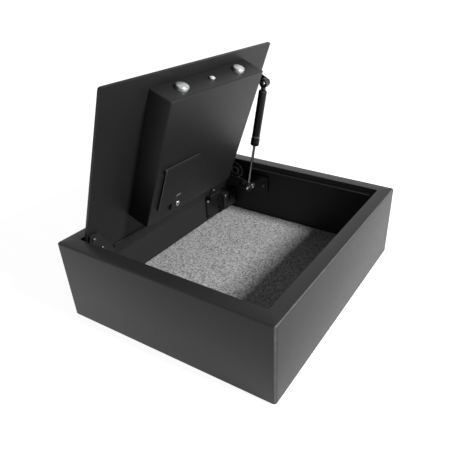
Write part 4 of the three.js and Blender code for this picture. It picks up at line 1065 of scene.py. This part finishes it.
class SAFE_OT_studio(bpy.types.Operator):
    """White studio: floor with a curved backdrop, soft lamps and the camera"""
    bl_idname = "safe.studio"
    bl_label = "Studio"

    def execute(self, context):
        white = context.scene.safe_colours.studio
        profile = [
            (0, 0), (FLOOR_REACH, 0),
            *arc((FLOOR_REACH, BACKDROP_BEND), BACKDROP_BEND, -90, 0, 12),
            (FLOOR_REACH + BACKDROP_BEND, BACKDROP_TOP)]
        shape = turned(profile, steps=64)
        bmesh.ops.translate(shape, vec=(0, 0, -FLOOR_DROP), verts=shape.verts)
        bmesh.ops.reverse_faces(shape, faces=shape.faces)
        bmesh.ops.scale(shape, vec=(MM,) * 3, verts=shape.verts)
        mesh = bpy.data.meshes.new("studio floor")
        shape.to_mesh(mesh)
        shape.free()
        mesh.shade_smooth()
        floor = bpy.data.objects.new("studio_floor", mesh)
        context.scene.collection.objects.link(floor)
        mesh.materials.append(self.floor_finish(white))
        self.sky(context)
        for name, lamp in LAMPS.items():
            self.lamp(context, name, *lamp)
        self.camera(context)
        return {"FINISHED"}

    def floor_finish(self, white):
        """Matt floor, with a glow for the rays that see it, a little stronger far off"""
        material = bpy.data.materials.new("white floor")
        material.use_nodes = True
        tree = material.node_tree
        tree.nodes.clear()
        place = add_node(tree, "TexCoord").outputs["Object"]
        away = add_node(tree, "VectorMath", {0: place}, operation="LENGTH").outputs["Value"]
        rise = add_node(tree, "MapRange", {
            "Value": away, "From Min": 0.5, "From Max": 2.4, "To Min": 0.92, "To Max": 0.96})
        lift = add_node(tree, "Math", {
            0: self.seen_rays(tree), 1: rise.outputs["Result"]}, operation="MULTIPLY")
        lit = add_node(tree, "BsdfDiffuse", {"Color": (*white, 1)})
        glow = add_node(tree, "Emission", {
            "Color": (1, 1, 1, 1), "Strength": lift.outputs["Value"]})
        both = add_node(tree, "AddShader", {0: lit.outputs["BSDF"], 1: glow.outputs["Emission"]})
        add_node(tree, "OutputMaterial", {"Surface": both.outputs["Shader"]})
        return material

    def seen_rays(self, tree):
        """One for a ray from the camera or one that metal or glass sends on"""
        path = add_node(tree, "LightPath")
        total = path.outputs["Is Camera Ray"]
        for name in ("Is Glossy Ray", "Is Transmission Ray"):
            total = add_node(tree, "Math", {
                0: total, 1: path.outputs[name]}, operation="MAXIMUM").outputs["Value"]
        return total

    def sky(self, context):
        """Dim white light from all round, brighter where it is seen or reflected"""
        world = bpy.data.worlds.new("studio")
        world.use_nodes = True
        context.scene.world = world
        tree = world.node_tree
        background = tree.nodes["Background"]
        background.inputs["Color"].default_value = (1, 1, 1, 1)
        strength = add_node(tree, "MapRange", {
            "Value": self.seen_rays(tree), "To Min": 0.12, "To Max": 0.5})
        tree.links.new(strength.outputs["Result"], background.inputs["Strength"])

    def lamp(self, context, name, place, target, size, power):
        """Square soft lamp that faces its target"""
        light = bpy.data.lights.new(name, "AREA")
        light.size = size
        light.energy = power
        lamp = bpy.data.objects.new(name, light)
        context.scene.collection.objects.link(lamp)
        lamp.location = place
        direction = Vector(target) - Vector(place)
        lamp.rotation_euler = direction.to_track_quat("-Z", "Y").to_euler()

    def camera(self, context):
        """Camera of the photograph"""
        view = bpy.data.cameras.new("camera")
        view.sensor_width = SENSOR
        view.lens = SENSOR * FOCAL_LENGTH / PICTURE
        view.shift_x = (PICTURE / 2 - PICTURE_MIDDLE[0]) / PICTURE
        view.shift_y = (PICTURE_MIDDLE[1] - PICTURE / 2) / PICTURE
        view.dof.use_dof = False
        view.clip_start = 0.01
        camera = bpy.data.objects.new("camera", view)
        context.scene.collection.objects.link(camera)
        turn = Matrix((CAMERA_RIGHT, CAMERA_UP, CAMERA_BACK)).transposed().to_4x4()
        camera.matrix_world = Matrix.Translation(CAMERA_PLACE) @ turn
        context.scene.camera = camera


class SAFE_PT_panel(bpy.types.Panel):
    """Lists the sizes, colours and pieces of the safe"""
    bl_idname = "SAFE_PT_panel"
    bl_label = "Drawer safe"
    bl_space_type = "VIEW_3D"
    bl_region_type = "UI"
    bl_category = "Safe"

    def draw(self, context):
        for group in (context.scene.safe_sizes, context.scene.safe_colours):
            box = self.layout.box()
            for name in group.bl_rna.properties.keys():
                if name not in ("rna_type", "name"):
                    box.prop(group, name)
        for operator in OPERATORS:
            self.layout.operator(operator.bl_idname)


OPERATORS = (
    SAFE_OT_finishes, SAFE_OT_body, SAFE_OT_mat, SAFE_OT_hinges, SAFE_OT_strut,
    SAFE_OT_wall_fittings, SAFE_OT_lid, SAFE_OT_bolt_cover, SAFE_OT_bolts, SAFE_OT_power,
    SAFE_OT_lock, SAFE_OT_keypad, SAFE_OT_studio)
CLASSES = (SafeSizes, SafeColours, *OPERATORS, SAFE_PT_panel)


def register():
    for entry in CLASSES:
        bpy.utils.register_class(entry)
    bpy.types.Scene.safe_sizes = PointerProperty(type=SafeSizes)
    bpy.types.Scene.safe_colours = PointerProperty(type=SafeColours)


def unregister():
    del bpy.types.Scene.safe_colours
    del bpy.types.Scene.safe_sizes
    for entry in reversed(CLASSES):
        bpy.utils.unregister_class(entry)


def main():
    register()
    for operator in OPERATORS:
        group, name = operator.bl_idname.split(".")
        getattr(getattr(bpy.ops, group), name)()
    bpy.context.scene.view_settings.view_transform = "Standard"


if __name__ == "__main__":
    main()
